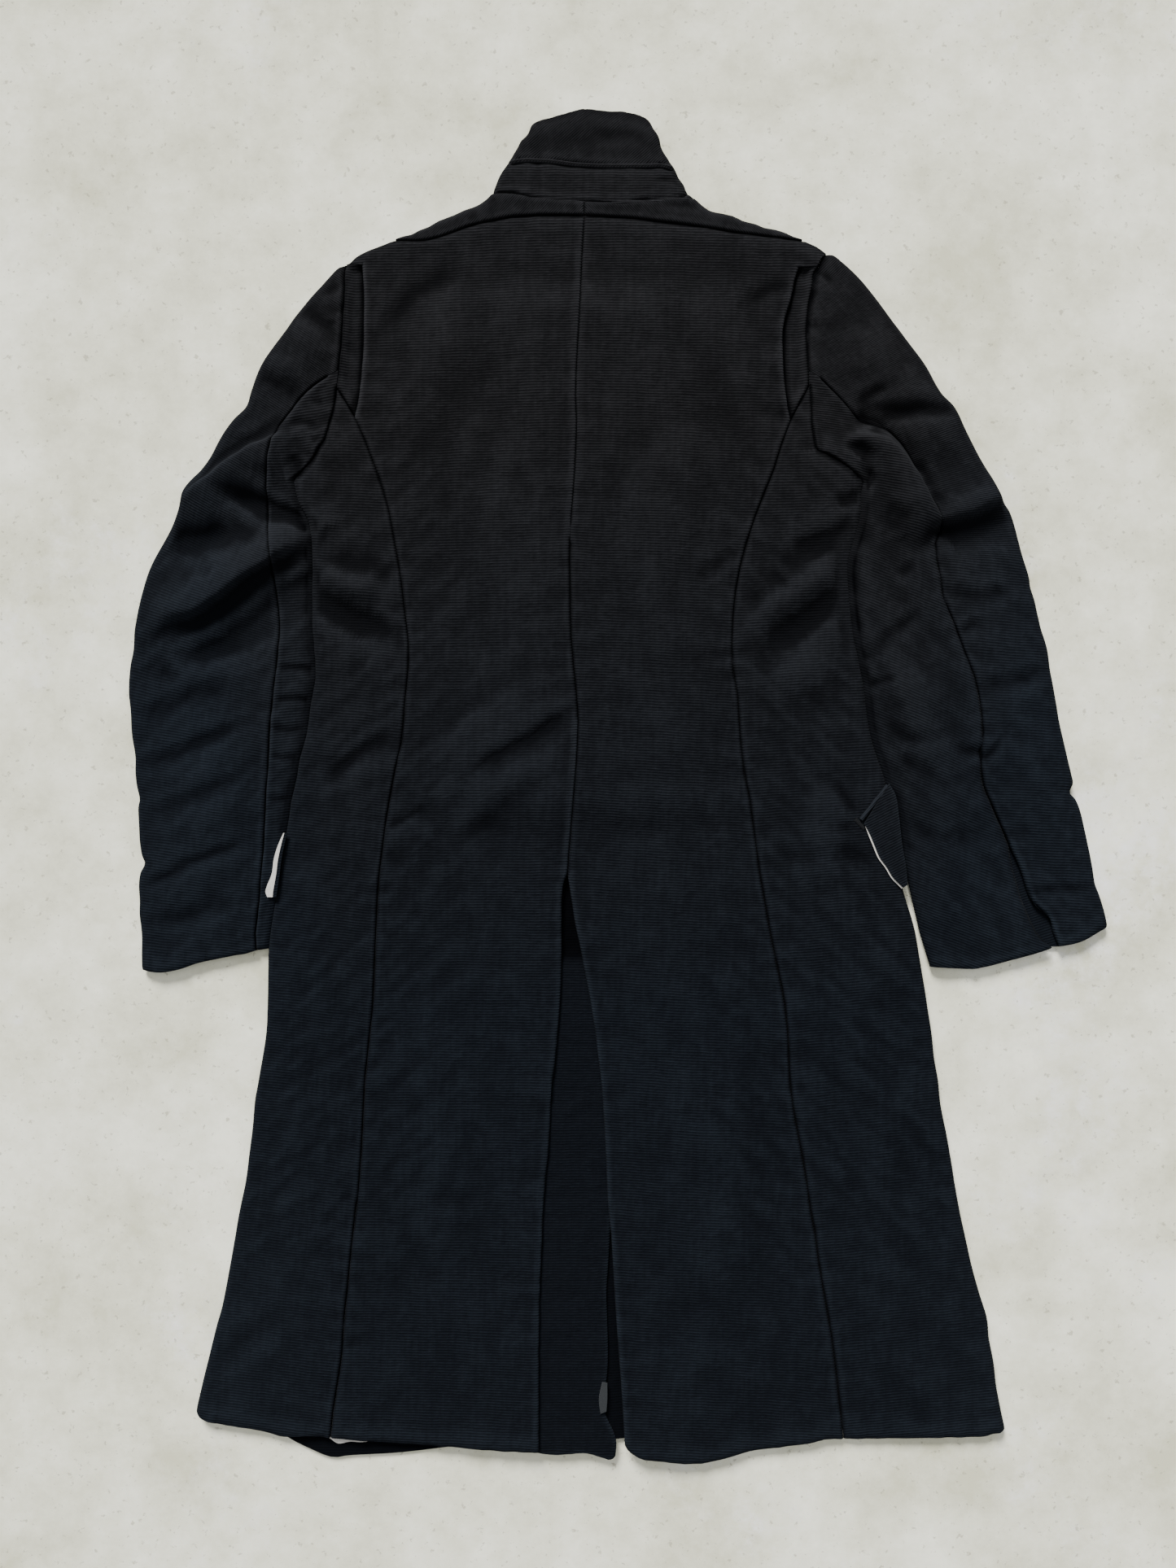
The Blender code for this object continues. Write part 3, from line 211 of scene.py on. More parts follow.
PRINCESS_RIGHT = ((199.5, -577.2), (197, -555), (194.5, -533), (191.8, -509), (189, -488), (185, -464),
                  (181, -442), (177, -418), (174.4, -396.6), (169.8, -372.5), (166.4, -348), (162.3, -324),
                  (158.3, -303), (154.3, -281), (151.5, -256), (150.4, -224), (148.3, -201), (145.2, -180),
                  (141, -161), (136.8, -140), (132.6, -119), (129.4, -100), (126.2, -83), (123.7, -66),
                  (121.6, -49), (118.9, -30.5), (116.8, -14), (113.2, 3), (110.5, 20), (108.4, 37),
                  (107.3, 50), (106.3, 72), (104.2, 88.5), (101, 105), (100.4, 122), (101, 139),
                  (102, 158), (104.2, 175), (107.3, 191.6), (110.5, 206), (114.7, 219), (121, 238),
                  (127.3, 254.8), (133.6, 269.5), (138.9, 284), (144.3, 301.6), (149, 314), (152.6, 323.5))
HEM_LEFT_BACK = ((-254, -575.5), (-229, -578), (-206, -579.6), (-183, -581), (-160, -582.5), (-137.5, -583.7),
                 (-114.5, -585.5), (-91.6, -586.4), (-69.8, -586.6))
HEM_RIGHT_BACK = ((5.6, -580), (9.6, -585.5), (20.4, -592.2), (31, -594.3), (47, -595.9), (60.5, -597.3),
                  (76.6, -596.7), (90, -594.3), (106, -590), (119.5, -586.8), (138, -584.7), (154, -582.3),
                  (170.4, -580), (182.4, -577.2), (199.5, -577.2))
PLEAT_FOLD_LEFT = ((-233, 326.3), (-231, 334), (-229.3, 341.4), (-227, 360.6), (-225.7, 376.5), (-224.9, 392),
                   (-224.6, 408), (-224.6, 440), (-226.2, 461))
PLEAT_FOLD_RIGHT = ((152.6, 323.5), (149, 339.8), (147.5, 352.6), (145.9, 368.5), (145.4, 384.5),
                    (145.4, 400), (146.4, 410), (148.3, 416.4), (153, 432), (157, 451.4), (159.6, 458.8))
SHOULDER_LEFT = ((-240.5, 461.5), (-237.3, 462.9), (-231.7, 468.2), (-222, 473.4), (-211, 477.7), (-197, 483))
SHOULDER_RIGHT = ((163, 482.6), (175.4, 477.4), (184.2, 471))
YOKE_SEAM_LEFT = ((-197, 483), (-190, 482.2), (-169.6, 482.4), (-150.4, 487.6), (-131, 494.5),
                  (-110.6, 498.5), (-94.6, 501.2), (-71, 502.7), (-44, 502.6), (-29.8, 502.4))
YOKE_SEAM_RIGHT = ((-29.8, 502.4), (0, 501.2), (15.9, 500.1), (38, 497.4), (47.8, 496.4), (71.7, 493.7),
                   (95.7, 490.5), (110, 488.5), (132, 486), (151.5, 483.6), (163, 482.6))
YOKE_OUTLINE_LEFT = ((-196.4, 484.4), (-190, 486.2), (-183, 488), (-176, 492), (-168, 495), (-158.4, 500.5),
                     (-145.6, 504.9), (-134.5, 510), (-126.5, 512.3), (-120.5, 515), (-111, 524))
YOKE_OUTLINE_RIGHT = ((67, 520), (80, 509), (89, 507), (101, 504.9), (110, 500.5), (121, 497.7), (129, 494.5),
                      (138.7, 492.9), (148.3, 489.7), (155.5, 486.2), (162.6, 484.2))

# Folds of the cloth: a rounded path, how high its crest stands or its trough sinks, how wide each side is,
# and how far the crest leans over. Soft is the side to the left of the path's direction, sharp the other.
# Crisp is 2 for a rounded crest or trough and 1 for a creased one.
Fold = namedtuple("Fold", "name path lift soft sharp lean crisp", defaults=(2.0,))
FOLDS = [Fold(*row) for row in (
    ("left elbow upper", ((-404, 232), (-391, 241), (-374, 254), (-341, 283), (-306, 304), (-278, 312)),
     13, 8, 36, -2, 1.6),
    ("left elbow lower", ((-418, 140), (-380, 160), (-345, 182), (-305, 208), (-268, 226)), 14, 26, 12, 5),
    ("left forearm", ((-405, 88), (-372, 112), (-330, 122)), 4, 30, 22, 0),
    ("left arm head", ((-262, 415), (-285, 385), (-303, 352)), 6, 26, 26, 0),
    ("left cuff", ((-372, -110), (-368, -30), (-370, 40)), 3, 34, 34, 0),
    ("right elbow upper", ((286, 226), (262, 258), (243, 288), (214, 303), (188, 300)), 14, 26, 12, 3),
    ("right elbow lower", ((356, 264), (322, 252), (292, 240), (262, 226)), 8, 9, 26, 0),
    ("right arm head", ((196, 420), (228, 385), (262, 345), (300, 290)), 7, 26, 30, 0),
    ("right forearm", ((240, 120), (272, 60), (290, 0)), 4, 26, 26, 0),
    ("right cuff", ((392, -70), (375, -10), (360, 60), (345, 130)), 3, 28, 28, 0),
    ("below vent crease", ((-60, 28), (-110, -6), (-160, -44)), 3.2, 12, 45, 0),
    ("above vent crease", ((-70, 92), (-120, 60), (-178, 22)), 2.2, 40, 14, 0),
    ("left flank", ((-268, 190), (-238, 176), (-206, 170)), 6.5, 16, 11, 0),
    ("right flank upper", ((112, 138), (160, 172), (200, 192)), 4.5, 14, 12, 0),
    ("right flank lower", ((190, 120), (160, 100), (126, 96)), 2.2, 22, 16, 0),
    ("left shoulder", ((-120, 430), (-170, 375), (-205, 300)), 2.5, 36, 36, 0),
    ("right shoulder", ((60, 440), (100, 400), (125, 330)), 2.5, 36, 36, 0),
    ("right pocket", ((190, 10), (178, -40), (190, -95)), 3, 24, 24, 0),
    ("left skirt", ((-150, -180), (-165, -320), (-170, -450)), 2.4, 45, 45, 0),
    ("right skirt", ((70, -200), (85, -340), (95, -470)), 2.6, 45, 45, 0),
    ("vent crease", ((-37, 70), (-58, 56), (-79, 43), (-107, 28), (-135, 9)), -3.6, 34, 4.6, 0, 1.0),
    ("vent facet", ((-52, 44), (-60, 0), (-64, -60)), 1.8, 26, 30, 0),
    ("left hip crease", ((-165, -16), (-184, -28), (-204, -40)), -1.7, 4, 8, 0, 1.2),
    ("left shoulder trough", ((-140, 460), (-180, 432), (-215, 400)), -1.4, 12, 12, 0),
    ("right shoulder trough", ((155, 447), (134, 438), (110, 425)), -1.2, 9, 9, 0),
    ("neck crease", ((109, 488), (104, 482)), -0.8, 4, 4, 0),
    ("long back trough", ((35, 350), (5, 290), (-30, 225)), -1.1, 20, 26, 0),
    ("right waist crease", ((107, 208), (85, 192), (62, 180)), -1.1, 6, 9, 0),
    ("left waist crease", ((-195, 210), (-178, 195)), -0.9, 6, 6, 0),
    ("left flank hollow", ((-280, 164), (-254, 156), (-230, 145), (-196, 133)), -8.0, 10, 11, 0),
    ("left waist trough", ((-262, 4), (-232, 26), (-196, 52)), -2.4, 8, 12, 0),
    ("left hip trough", ((-165, -40), (-208, -75)), -1.2, 9, 9, 0),
    ("left skirt crease a", ((-247.7, -368), (-231.6, -357.6)), -0.8, 4, 4, 0),
    ("left skirt crease b", ((-229, -222), (-221, -216)), -0.7, 3.5, 3.5, 0),
    ("left skirt crease c", ((-243, -496), (-225, -483)), -0.8, 5, 5, 0),
    ("right flank hollow", ((216, 222), (184, 215), (156, 201)), -10.0, 10, 12, 0),
    ("right flank edge", ((212, 250), (203, 225), (200, 190), (203, 145), (208, 104)), -6.0, 12, 9, 0),
    ("right flank trough", ((206, 172), (183, 154), (158, 136), (128, 124)), -6.4, 9, 13, 0),
    ("right armpit hollow", ((215, 265), (205, 256), (192, 248)), -2.6, 9, 9, 0),
    ("pocket corner a", ((212, -26), (200, -10), (190, 10)), -1.3, 6, 6, 0),
    ("pocket corner b", ((208, -34), (190, -38), (174, -30)), -1.0, 6, 6, 0),
    ("right hip trough", ((125, -62), (180, -64), (235, -58)), -0.9, 12, 12, 0),
    ("right seam crease", ((162, -294), (152, -302)), -0.7, 4, 4, 0),
    ("left elbow hollow", ((-350, 263), (-330, 256), (-302, 243), (-262, 224)), -10.0, 9, 10, 0),
    ("left elbow dark", ((-252, 192), (-287, 168), (-318, 143), (-356, 121), (-400, 110)), -10.0, 18, 12, 0),
    ("left arm valley", ((-300, 316), (-322, 306), (-348, 288), (-392, 252)), -3.6, 5, 10, 0, 1.3),
    ("left elbow soft", ((-396, 219), (-370, 215), (-340, 226)), -6.0, 13, 12, 0),
    ("left arm trough c", ((-357, 227), (-380, 214), (-402, 196)), -1.6, 9, 9, 0),
    ("left forearm trough", ((-409, 107), (-395, 100), (-380, 91)), -1.4, 9, 9, 0),
    ("left cuff crease", ((-423, -88), (-396, -77), (-370, -64), (-330, -48)), -2.2, 6, 8, 0, 1.4),
    ("left forearm drag a", ((-428, 16), (-380, 34), (-326, 58)), -2.0, 8, 11, 0),
    ("left forearm drag b", ((-428, 58), (-384, 78), (-330, 94)), -1.8, 9, 12, 0),
    ("left forearm drag c", ((-424, -28), (-372, -8), (-322, 14)), -1.6, 8, 11, 0),
    ("left forearm drag d", ((-420, -128), (-380, -112), (-330, -98)), -1.5, 8, 9, 0),
    ("left strip crease a", ((-304, 104), (-286, 106), (-268, 103)), -2.2, 4, 5, 0, 1.4),
    ("left strip crease b", ((-306, 76), (-290, 79), (-270, 77)), -1.8, 4, 4, 0, 1.4),
    ("left strip crease c", ((-308, 52), (-292, 50), (-276, 53)), -1.4, 4, 4, 0, 1.4),
    ("left strip crease d", ((-308, 30), (-296, 27), (-282, 31)), -1.2, 4, 4, 0, 1.4),
    ("left strip crease e", ((-312, -10), (-302, -12), (-290, -8)), -1.2, 4, 4, 0, 1.4),
    ("right forearm drag a", ((285, 180), (312, 168), (350, 174)), -1.8, 8, 10, 0),
    ("right forearm drag b", ((318, 96), (342, 92), (378, 104)), -1.6, 8, 10, 0),
    ("right strip drag a", ((230, 60), (256, 44), (292, 40)), -2.2, 9, 12, 0),
    ("right strip drag b", ((250, -30), (285, -44), (330, -40)), -1.5, 10, 12, 0),
    ("collar drag a", ((-72, 566), (-30, 572), (20, 582)), -0.8, 7, 10, 0),
    ("collar drag b", ((-40, 584), (0, 578), (34, 566)), -0.6, 6, 9, 0),
    ("left armhole hollow", ((-292, 293), (-280, 278)), -2.8, 8, 8, 0),
    ("left armhole crease a", ((-272.6, 340), (-260, 341)), -0.9, 3.5, 3.5, 0),
    ("left armhole crease b", ((-289.5, 320), (-264, 321.5)), -1.3, 4, 4, 0),
    ("left armhole crease c", ((-270.5, 306), (-261, 307.4)), -0.9, 3.5, 3.5, 0),
    ("left head crease a", ((-260, 435.5), (-242, 443.5)), -1.0, 4, 4, 0),
    ("left head crease b", ((-258, 410), (-246, 410)), -0.8, 3.5, 3.5, 0),
    ("right arm valley", ((196, 326), (220, 329), (246, 328), (270, 330), (300, 334)), -6.0, 9, 9, 0),
    ("right arm crease b", ((206, 336), (222, 344), (240, 352)), -2.6, 6, 6, 0),
    ("right roll rim", ((255, 300), (266, 280), (277, 256), (292, 232)), -3.0, 9, 5, 0),
    ("right elbow groove", ((278, 218), (312, 228), (350, 237)), -5.0, 8, 16, 0),
    ("right armhole hole", ((196, 304), (208, 299), (217, 289), (220, 274), (215, 254)), -8.0, 7, 8, 0),
    ("right arm trough a", ((264, 200), (252, 192), (241, 187)), -1.4, 7, 7, 0),
    ("right arm trough b", ((268, 158), (242, 134), (215, 107)), -1.6, 8, 8, 0),
    ("right arm crease", ((219, 87), (231, 91), (243.6, 93)), -1.2, 4, 4, 0),
    ("right forearm crease", ((295, 37.6), (306, 31), (317, 33), (324, 28.7), (333, 35), (342, 46.5)),
     -1.6, 4, 5, 0),
    ("right small crease", ((301.6, 136), (317, 147)), -1.0, 4, 4, 0),
    ("right soft patch", ((284, 6), (265, 17), (246, 28)), -1.2, 9, 9, 0),
    ("right cuff crease", ((365, -93.8), (392, -91), (420, -91)), -1.3, 4, 5, 0),
    ("right head crease a", ((173.8, 452), (181.8, 451), (189.7, 442)), -1.1, 4, 4, 0),
    ("right head crease b", ((169, 410), (178.6, 410)), -0.8, 3.5, 3.5, 0),
    ("collar right crease", ((35, 515), (55, 512), (75, 511)), -1.0, 4, 4, 0),
    ("stand crease", ((31, 537), (45, 534), (59, 528)), -1.2, 4, 4, 0),
)]


def smooth_points(points, per_span=8):
    """A rounded line through the points, as many short chords."""
    p = [np.array(q, float) for q in points]
    if len(p) == 2:
        return np.linspace(p[0], p[1], per_span + 1)
    p = [2 * p[0] - p[1]] + p + [2 * p[-1] - p[-2]]
    out = []
    for a, b, c, d in zip(p, p[1:], p[2:], p[3:]):
        ta = 0.0
        tb = ta + max(np.linalg.norm(b - a), 1e-6) ** 0.5
        tc = tb + max(np.linalg.norm(c - b), 1e-6) ** 0.5
        td = tc + max(np.linalg.norm(d - c), 1e-6) ** 0.5
        for t in np.linspace(tb, tc, per_span, endpoint=False):
            ab = a * (tb - t) / (tb - ta) + b * (t - ta) / (tb - ta)
            bc = b * (tc - t) / (tc - tb) + c * (t - tb) / (tc - tb)
            cd = c * (td - t) / (td - tc) + d * (t - tc) / (td - tc)
            abc = ab * (tc - t) / (tc - ta) + bc * (t - ta) / (tc - ta)
            bcd = bc * (td - t) / (td - tb) + cd * (t - tb) / (td - tb)
            out.append(abc * (tc - t) / (tc - tb) + bcd * (t - tb) / (tc - tb))
    out.append(p[-2])
    return np.array(out)


def lengths(line):
    return np.concatenate(([0.0], np.cumsum(np.linalg.norm(np.diff(line, axis=0), axis=1))))


def along(line, count, crowd=0.0):
    """The line cut into count chords, of even length or crowded towards its two ends."""
    run = lengths(line)
    t = np.linspace(0, 1, count + 1)
    at = run[-1] * (t - crowd * np.sin(2 * np.pi * t) / (2 * np.pi))
    return np.column_stack([np.interp(at, run, line[:, k]) for k in range(line.shape[1])])


def curve(points, count, crowd=0.0):
    return along(smooth_points(points), count, crowd)


def join(*lines):
    """Lines that follow each other, made one."""
    return np.vstack([lines[0]] + [line[1:] for line in lines[1:]])


def sideways(line):
    """The unit direction to the left of the line at each of its points."""
    ahead = np.gradient(line, axis=0)
    ahead /= np.linalg.norm(ahead, axis=1)[:, None]
    return np.column_stack((-ahead[:, 1], ahead[:, 0]))


def moved(line, distance):
    return line + sideways(line) * distance


def after(line, distance):
    """The line without its first stretch."""
    run = lengths(line)
    start = np.array([np.interp(distance, run, line[:, k]) for k in (0, 1)])
    return np.vstack((start, line[run > distance + 0.2]))


def smooth_step(t):
    t = np.clip(t, 0.0, 1.0)
    return t * t * (3 - 2 * t)


def band(x, low, high, fade):
    """1 between low and high, fading to 0 outside them."""
    return smooth_step((x - low + fade) / fade) * smooth_step((high + fade - x) / fade)


def cloudy(x, y, size, seed):
    """Soft seeded unevenness between -1 and 1, its patches about as wide as size."""
    lattice = np.random.default_rng(seed).uniform(-1, 1, (512, 512))
    gx, gy = x / size + 256, y / size + 256
    i, j = np.floor(gx).astype(int), np.floor(gy).astype(int)
    fx, fy = smooth_step(gx - i), smooth_step(gy - j)

    def at(a, b):
        return lattice[(i + a) % 512, (j + b) % 512]

    return ((at(0, 0) * (1 - fx) + at(1, 0) * fx) * (1 - fy) + (at(0, 1) * (1 - fx) + at(1, 1) * fx) * fy)


def button_lift(x, y):
    """How high the closure stands over the buttons that lie under it."""
    half = BUTTON_WIDTH / 2 + 3
    low = BUTTON_TOP - BUTTON_STEP * (BUTTON_COUNT - 1)
    return (BUTTON_THICK + 0.5) * band(x, CENTRE_FRONT - half, CENTRE_FRONT + half, 30) * band(
        y, low - 20, BUTTON_TOP + 20, 40)


def folds(x, y):
    """What the folds add to the height of the cloth at each place, and how far they lean in plan."""
    lift, lean = np.zeros_like(x), np.zeros(x.shape + (2,))
    x, y = (x + 2.6 * cloudy(x, y, 31, 8) + 1.1 * cloudy(x, y, 11, 9),
            y + 2.6 * cloudy(x, y, 29, 10) + 1.1 * cloudy(x, y, 12, 11))
    for fold in FOLDS:
        path = along(smooth_points(fold.path, 6), 18)
        reach = 2.6 * max(fold.soft, fold.sharp)
        low, high = path.min(axis=0) - reach, path.max(axis=0) + reach
        near = (x > low[0]) & (x < high[0]) & (y > low[1]) & (y < high[1])
        if not near.any():
            continue
        start, chord = path[:-1], np.diff(path, axis=0)
        dx, dy = x[near][:, None] - start[:, 0], y[near][:, None] - start[:, 1]
        t = np.clip((dx * chord[:, 0] + dy * chord[:, 1]) / np.sum(chord * chord, axis=1), 0, 1)
        away = np.hypot(dx - t * chord[:, 0], dy - t * chord[:, 1])
        nearest = np.argmin(away, axis=1)
        each = np.arange(len(nearest))
        cross = (chord[:, 0] * dy - chord[:, 1] * dx)[each, nearest]
        run = (nearest + t[each, nearest]) / len(chord)
        width = np.where(cross > 0, fold.soft, fold.sharp)
        ends = smooth_step(np.minimum(run, 1 - run) / 0.3)
        shape = (0.15 + 0.85 * ends) * np.exp(-(away[each, nearest] / width) ** fold.crisp * 1.4)
        lift[near] += fold.lift * shape
        if fold.lean:
            to_sharp = -sideways(path)[nearest]
            lean[near] += fold.lean * (shape ** 1.5 * ends)[:, None] * to_sharp
    return lift, lean


def nearest_on(line, x, y):
    """Distance in plan to a line, and how far along it the nearest place lies."""
    start, chord = line[:-1], np.diff(line, axis=0)
    run = lengths(line)
    away, at = np.full(x.shape, 1e9), np.zeros_like(x)
    for k in range(len(chord)):
        dx, dy = x - start[k, 0], y - start[k, 1]
        t = np.clip((dx * chord[k, 0] + dy * chord[k, 1]) / (chord[k] @ chord[k]), 0, 1)
        d = np.hypot(dx - t * chord[k, 0], dy - t * chord[k, 1])
        closer = d < away
        away[closer], at[closer] = d[closer], (run[k] + t * (run[k + 1] - run[k]))[closer]
    return away, at


SHOULDER_LINES = [smooth_points(points, 2) for points in (SHOULDER_LEFT, SHOULDER_RIGHT, YOKE_OUTLINE_LEFT,
                                                          YOKE_OUTLINE_RIGHT)]
SHOULDER_DROP, SHOULDER_ROUND = 2.8, 9.0
LOWEST = 5.2           # top of the upper layer where it is pressed on the one under it


def height(x, y):
    """Top of the upper layer of cloth before its folds."""
    centre = band(x, CENTRE_FRONT - OVERLAP - 8, CENTRE_FRONT + OVERLAP + 20, 130) * band(y, -700, 500, 60)
    rise = centre * (CLOTH + CLOSURE_AIR + button_lift(np.full_like(x, CENTRE_FRONT), y))
    near = np.min([nearest_on(line, x, y)[0] for line in SHOULDER_LINES], axis=0)
    drop = SHOULDER_DROP * (1 - np.sqrt(1 - (1 - np.clip(near / SHOULDER_ROUND, 0, 1)) ** 2))
    return REST_HEIGHT + rise - drop


def crinkle(x, y):
    """The unevenness that washing leaves: soft patches, and short drawn lines that slant down towards
    the coat's sides."""
    total = 0.4 * cloudy(0.9 * x + 0.4 * y, 0.9 * y - 0.4 * x, 34, 1)
    total += 0.22 * cloudy(0.6 * x - 0.8 * y, 0.6 * y + 0.8 * x, 15, 2)
    total += 0.17 * cloudy(0.8 * x + 0.6 * y, 0.8 * y - 0.6 * x, 5.5, 3)
    slant = np.where(x < -20, 1.0, -1.0)
    drawn = cloudy((x * slant + y) / 5.5, (y - x * slant) / 1.6, 6, 6)
    total += 0.4 * drawn * band(y, -330, 260, 160) * smooth_step((np.abs(x + 25) - 60) / 110)
    broad = cloudy((x * slant + y) / 75 * 6, (y - x * slant) / 26 * 6, 6, 12)
    return total + (0.12 + 0.5 * smooth_step((np.abs(x + 25) - 230) / 60)) * broad * band(y, -700, 450, 60)


# A seam or free edge: how much the cloth beside it stands up as a ridge, how worn its edge is (above 0) and
# how much painted shade darkens the cloth beside it (below 0), how deep and wide it is rolled in, and how
# strongly it is puckered.
Edge = namedtuple("Edge", "line ridge worn roll pucker wide", defaults=(0.05, -0.8, 2.3, 0.8, 2.2))


def settled(z):
    """The same height, but no lower than cloth that is pressed on the layer under it."""
    return np.where(z < LOWEST + 2, LOWEST + 2 * np.exp(np.minimum(z - LOWEST - 2, 0) / 2), z)


def raised(x, y, edges=()):
    """Where the top of the cloth lies, and its wear and painted shade: it is crinkled, leans with its folds,
    and is rolled in and puckered at its edges; pale wear lies on some edges, painted shade beside seams and
    rolled edges."""
    lift, lean = folds(x, y)
    z = settled(height(x, y) + lift + crinkle(x, y))
    worn = np.zeros_like(x)
    for edge in edges:
        away, run = nearest_on(edge.line, x, y)
        roll = edge.roll * (1 - np.sqrt(1 - (1 - np.clip(away / edge.wide, 0, 1)) ** 2))
        ridge = edge.ridge * np.exp(-((away - 3.4) / 2.2) ** 2)
        uneven = cloudy(run, edge.line[0, 0] + np.zeros_like(run), 9, 4)
        z += ridge * (1 + 0.3 * uneven) - roll + edge.pucker * uneven * np.exp(-away / 10)
        patchy = 0.75 + 0.35 * cloudy(run, edge.line[0, 1] + np.zeros_like(run), 16, 5)
        # Below 0 the value is painted shade, spread over most of the width that the edge is rolled in.
        near = np.clip(away - 1.1, 0, None) / 1.6 if edge.worn > 0 else away / (0.8 * edge.wide)
        edge_wear_and_shade = edge.worn * patchy * np.exp(-near ** 2)
        worn = np.where(np.abs(edge_wear_and_shade) > np.abs(worn), edge_wear_and_shade, worn)
    return x + lean[..., 0], y + lean[..., 1], np.maximum(z, CLOTH + LAYER), worn


def coons(bottom, top, left, right, gaps=(0, 0, 0, 0)):
    """A net of places between four lines, held back from them by the gaps (bottom, top, left, right)."""
    u = (lengths(bottom) / lengths(bottom)[-1])[:, None, None]
    v = np.linspace(0, 1, len(left))[None, :, None]
    across = (1 - v) * bottom[:, None] + v * top[:, None]
    upward = (1 - u) * left[None] + u * right[None]
    corners = ((1 - u) * (1 - v) * bottom[0] + u * (1 - v) * bottom[-1]
               + (1 - u) * v * top[0] + u * v * top[-1])
    net = across + upward - corners
    below, over, before, behind = gaps
    shift = np.zeros_like(net)
    shift[:, 0] += sideways(bottom) * below
    shift[:, -1] -= sideways(top) * over
    shift[0] -= sideways(left) * before
    shift[-1] += sideways(right) * behind
    return net + shift


def smoothed(z, reach=4):
    """The heights of a net averaged over their neighbours."""
    padded = np.pad(z, reach, mode="edge")
    rows = sum(padded[k:k + z.shape[0]] for k in range(2 * reach + 1)) / (2 * reach + 1)
    return sum(rows[:, k:k + z.shape[1]] for k in range(2 * reach + 1)) / (2 * reach + 1)


def upper(net, edges=(), sink=0.0):
    """Outer face, inner face, and wear and painted shade of cloth over a net of places. Crests are rubbed
    paler, and troughs get painted shade.
    """
    x, y, z, worn = raised(net[..., 0], net[..., 1], edges)
    # Troughs are darkened with painted shade; crests are made paler as if rubbed.
    worn = worn + np.clip((z - smoothed(z)) * 0.6, -0.5, 0.25)
    smooth = settled(height(net[..., 0], net[..., 1]) + folds(net[..., 0], net[..., 1])[0])
    inner = np.minimum(z - 0.9, smooth - CLOTH)
    return (np.stack((x, y, z - sink), axis=-1), np.stack((x, y, inner - sink), axis=-1), worn)


def flat_layer(net, low, high):
    size = net.shape[:-1]
    outer = np.concatenate((net, (high * np.ones(size))[..., None]), axis=-1)
    inner = np.concatenate((net, (low * np.ones(size))[..., None]), axis=-1)
    return outer, inner, np.zeros(size)


def on_floor(net):
    return flat_layer(net, CLOTH, 0.0)


def weave_map(x, y, grain):
    """Places across and along the cloth, in metres. grain is the middle line's x and, at some heights,
    the slope of the ribs there."""
    middle, heights, slopes = grain
    slope = np.interp(y, heights, slopes)
    return np.column_stack((x + 0.3 * slope * y, y - slope * (x - middle))) * 0.001


def cloth(name, stretches, grain, material, replaces, smooth_angle=50):
    """One closed wall over its stretches, each the outer and inner faces over a net, or over an outline."""
    numbers, outer_places, inner_places, wear_and_shade_values, faces = {}, [], [], [], []

    def number(outer, inner, worn):
        key = tuple(np.round(outer, 2))
        if key not in numbers:
            numbers[key] = len(outer_places)
            outer_places.append(outer)
            inner_places.append(inner)
            wear_and_shade_values.append(worn)
        return numbers[key]

    for outer, inner, worn in stretches:
        if outer.ndim == 2:
            faces.append([number(*row) for row in zip(outer, inner, worn)])
            continue
        wide, long = outer.shape[:2]
        at = [[number(outer[i, j], inner[i, j], worn[i, j]) for j in range(long)] for i in range(wide)]
        for i in range(wide - 1):
            for j in range(long - 1):
                face = [at[i][j], at[i + 1][j], at[i + 1][j + 1], at[i][j + 1]]
                if len(set(face)) == 4:
                    faces.append(face)
                elif len(set(face)) == 3:
                    faces.append(list(dict.fromkeys(face)))

    count = len(outer_places)
    places = np.array(outer_places + inner_places)
    mesh = bmesh.new()
    for place in places * 0.001:
        mesh.verts.new(place)
    mesh.verts.ensure_lookup_table()
    mesh.verts.index_update()
    for face in faces:
        mesh.faces.new([mesh.verts[k] for k in face])
    rim = [edge for edge in mesh.edges if len(edge.link_faces) == 1]
    rim = [(edge.verts[0].index, edge.verts[1].index) for edge in rim]
    for face in faces:
        mesh.faces.new([mesh.verts[k + count] for k in reversed(face)])
    for a, b in rim:
        mesh.faces.new([mesh.verts[k] for k in (a, b, b + count, a + count)])
    bmesh.ops.recalc_face_normals(mesh, faces=mesh.faces)
    data = bpy.data.meshes.new(name)
    mesh.to_mesh(data)
    mesh.free()
    data.shade_smooth()
    data.set_sharp_from_angle(angle=math.radians(smooth_angle))
    # Each point's wear and painted shade goes to the material as an attribute.
    data.attributes.new("worn", "FLOAT", "POINT").data.foreach_set("value", np.array(wear_and_shade_values + wear_and_shade_values, np.float32))
    flat = weave_map(places[:, 0], places[:, 1], grain)
    corners = np.empty(len(data.loops), int)
    data.loops.foreach_get("vertex_index", corners)
    data.uv_layers.new(name="cloth").data.foreach_set("uv", flat[corners].astype(np.float32).ravel())
    data.materials.append(material)
    thing = bpy.data.objects.new(name, data)
    bpy.context.scene.collection.objects.link(thing)
    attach(thing, "root")
    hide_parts(*replaces)
    return thing


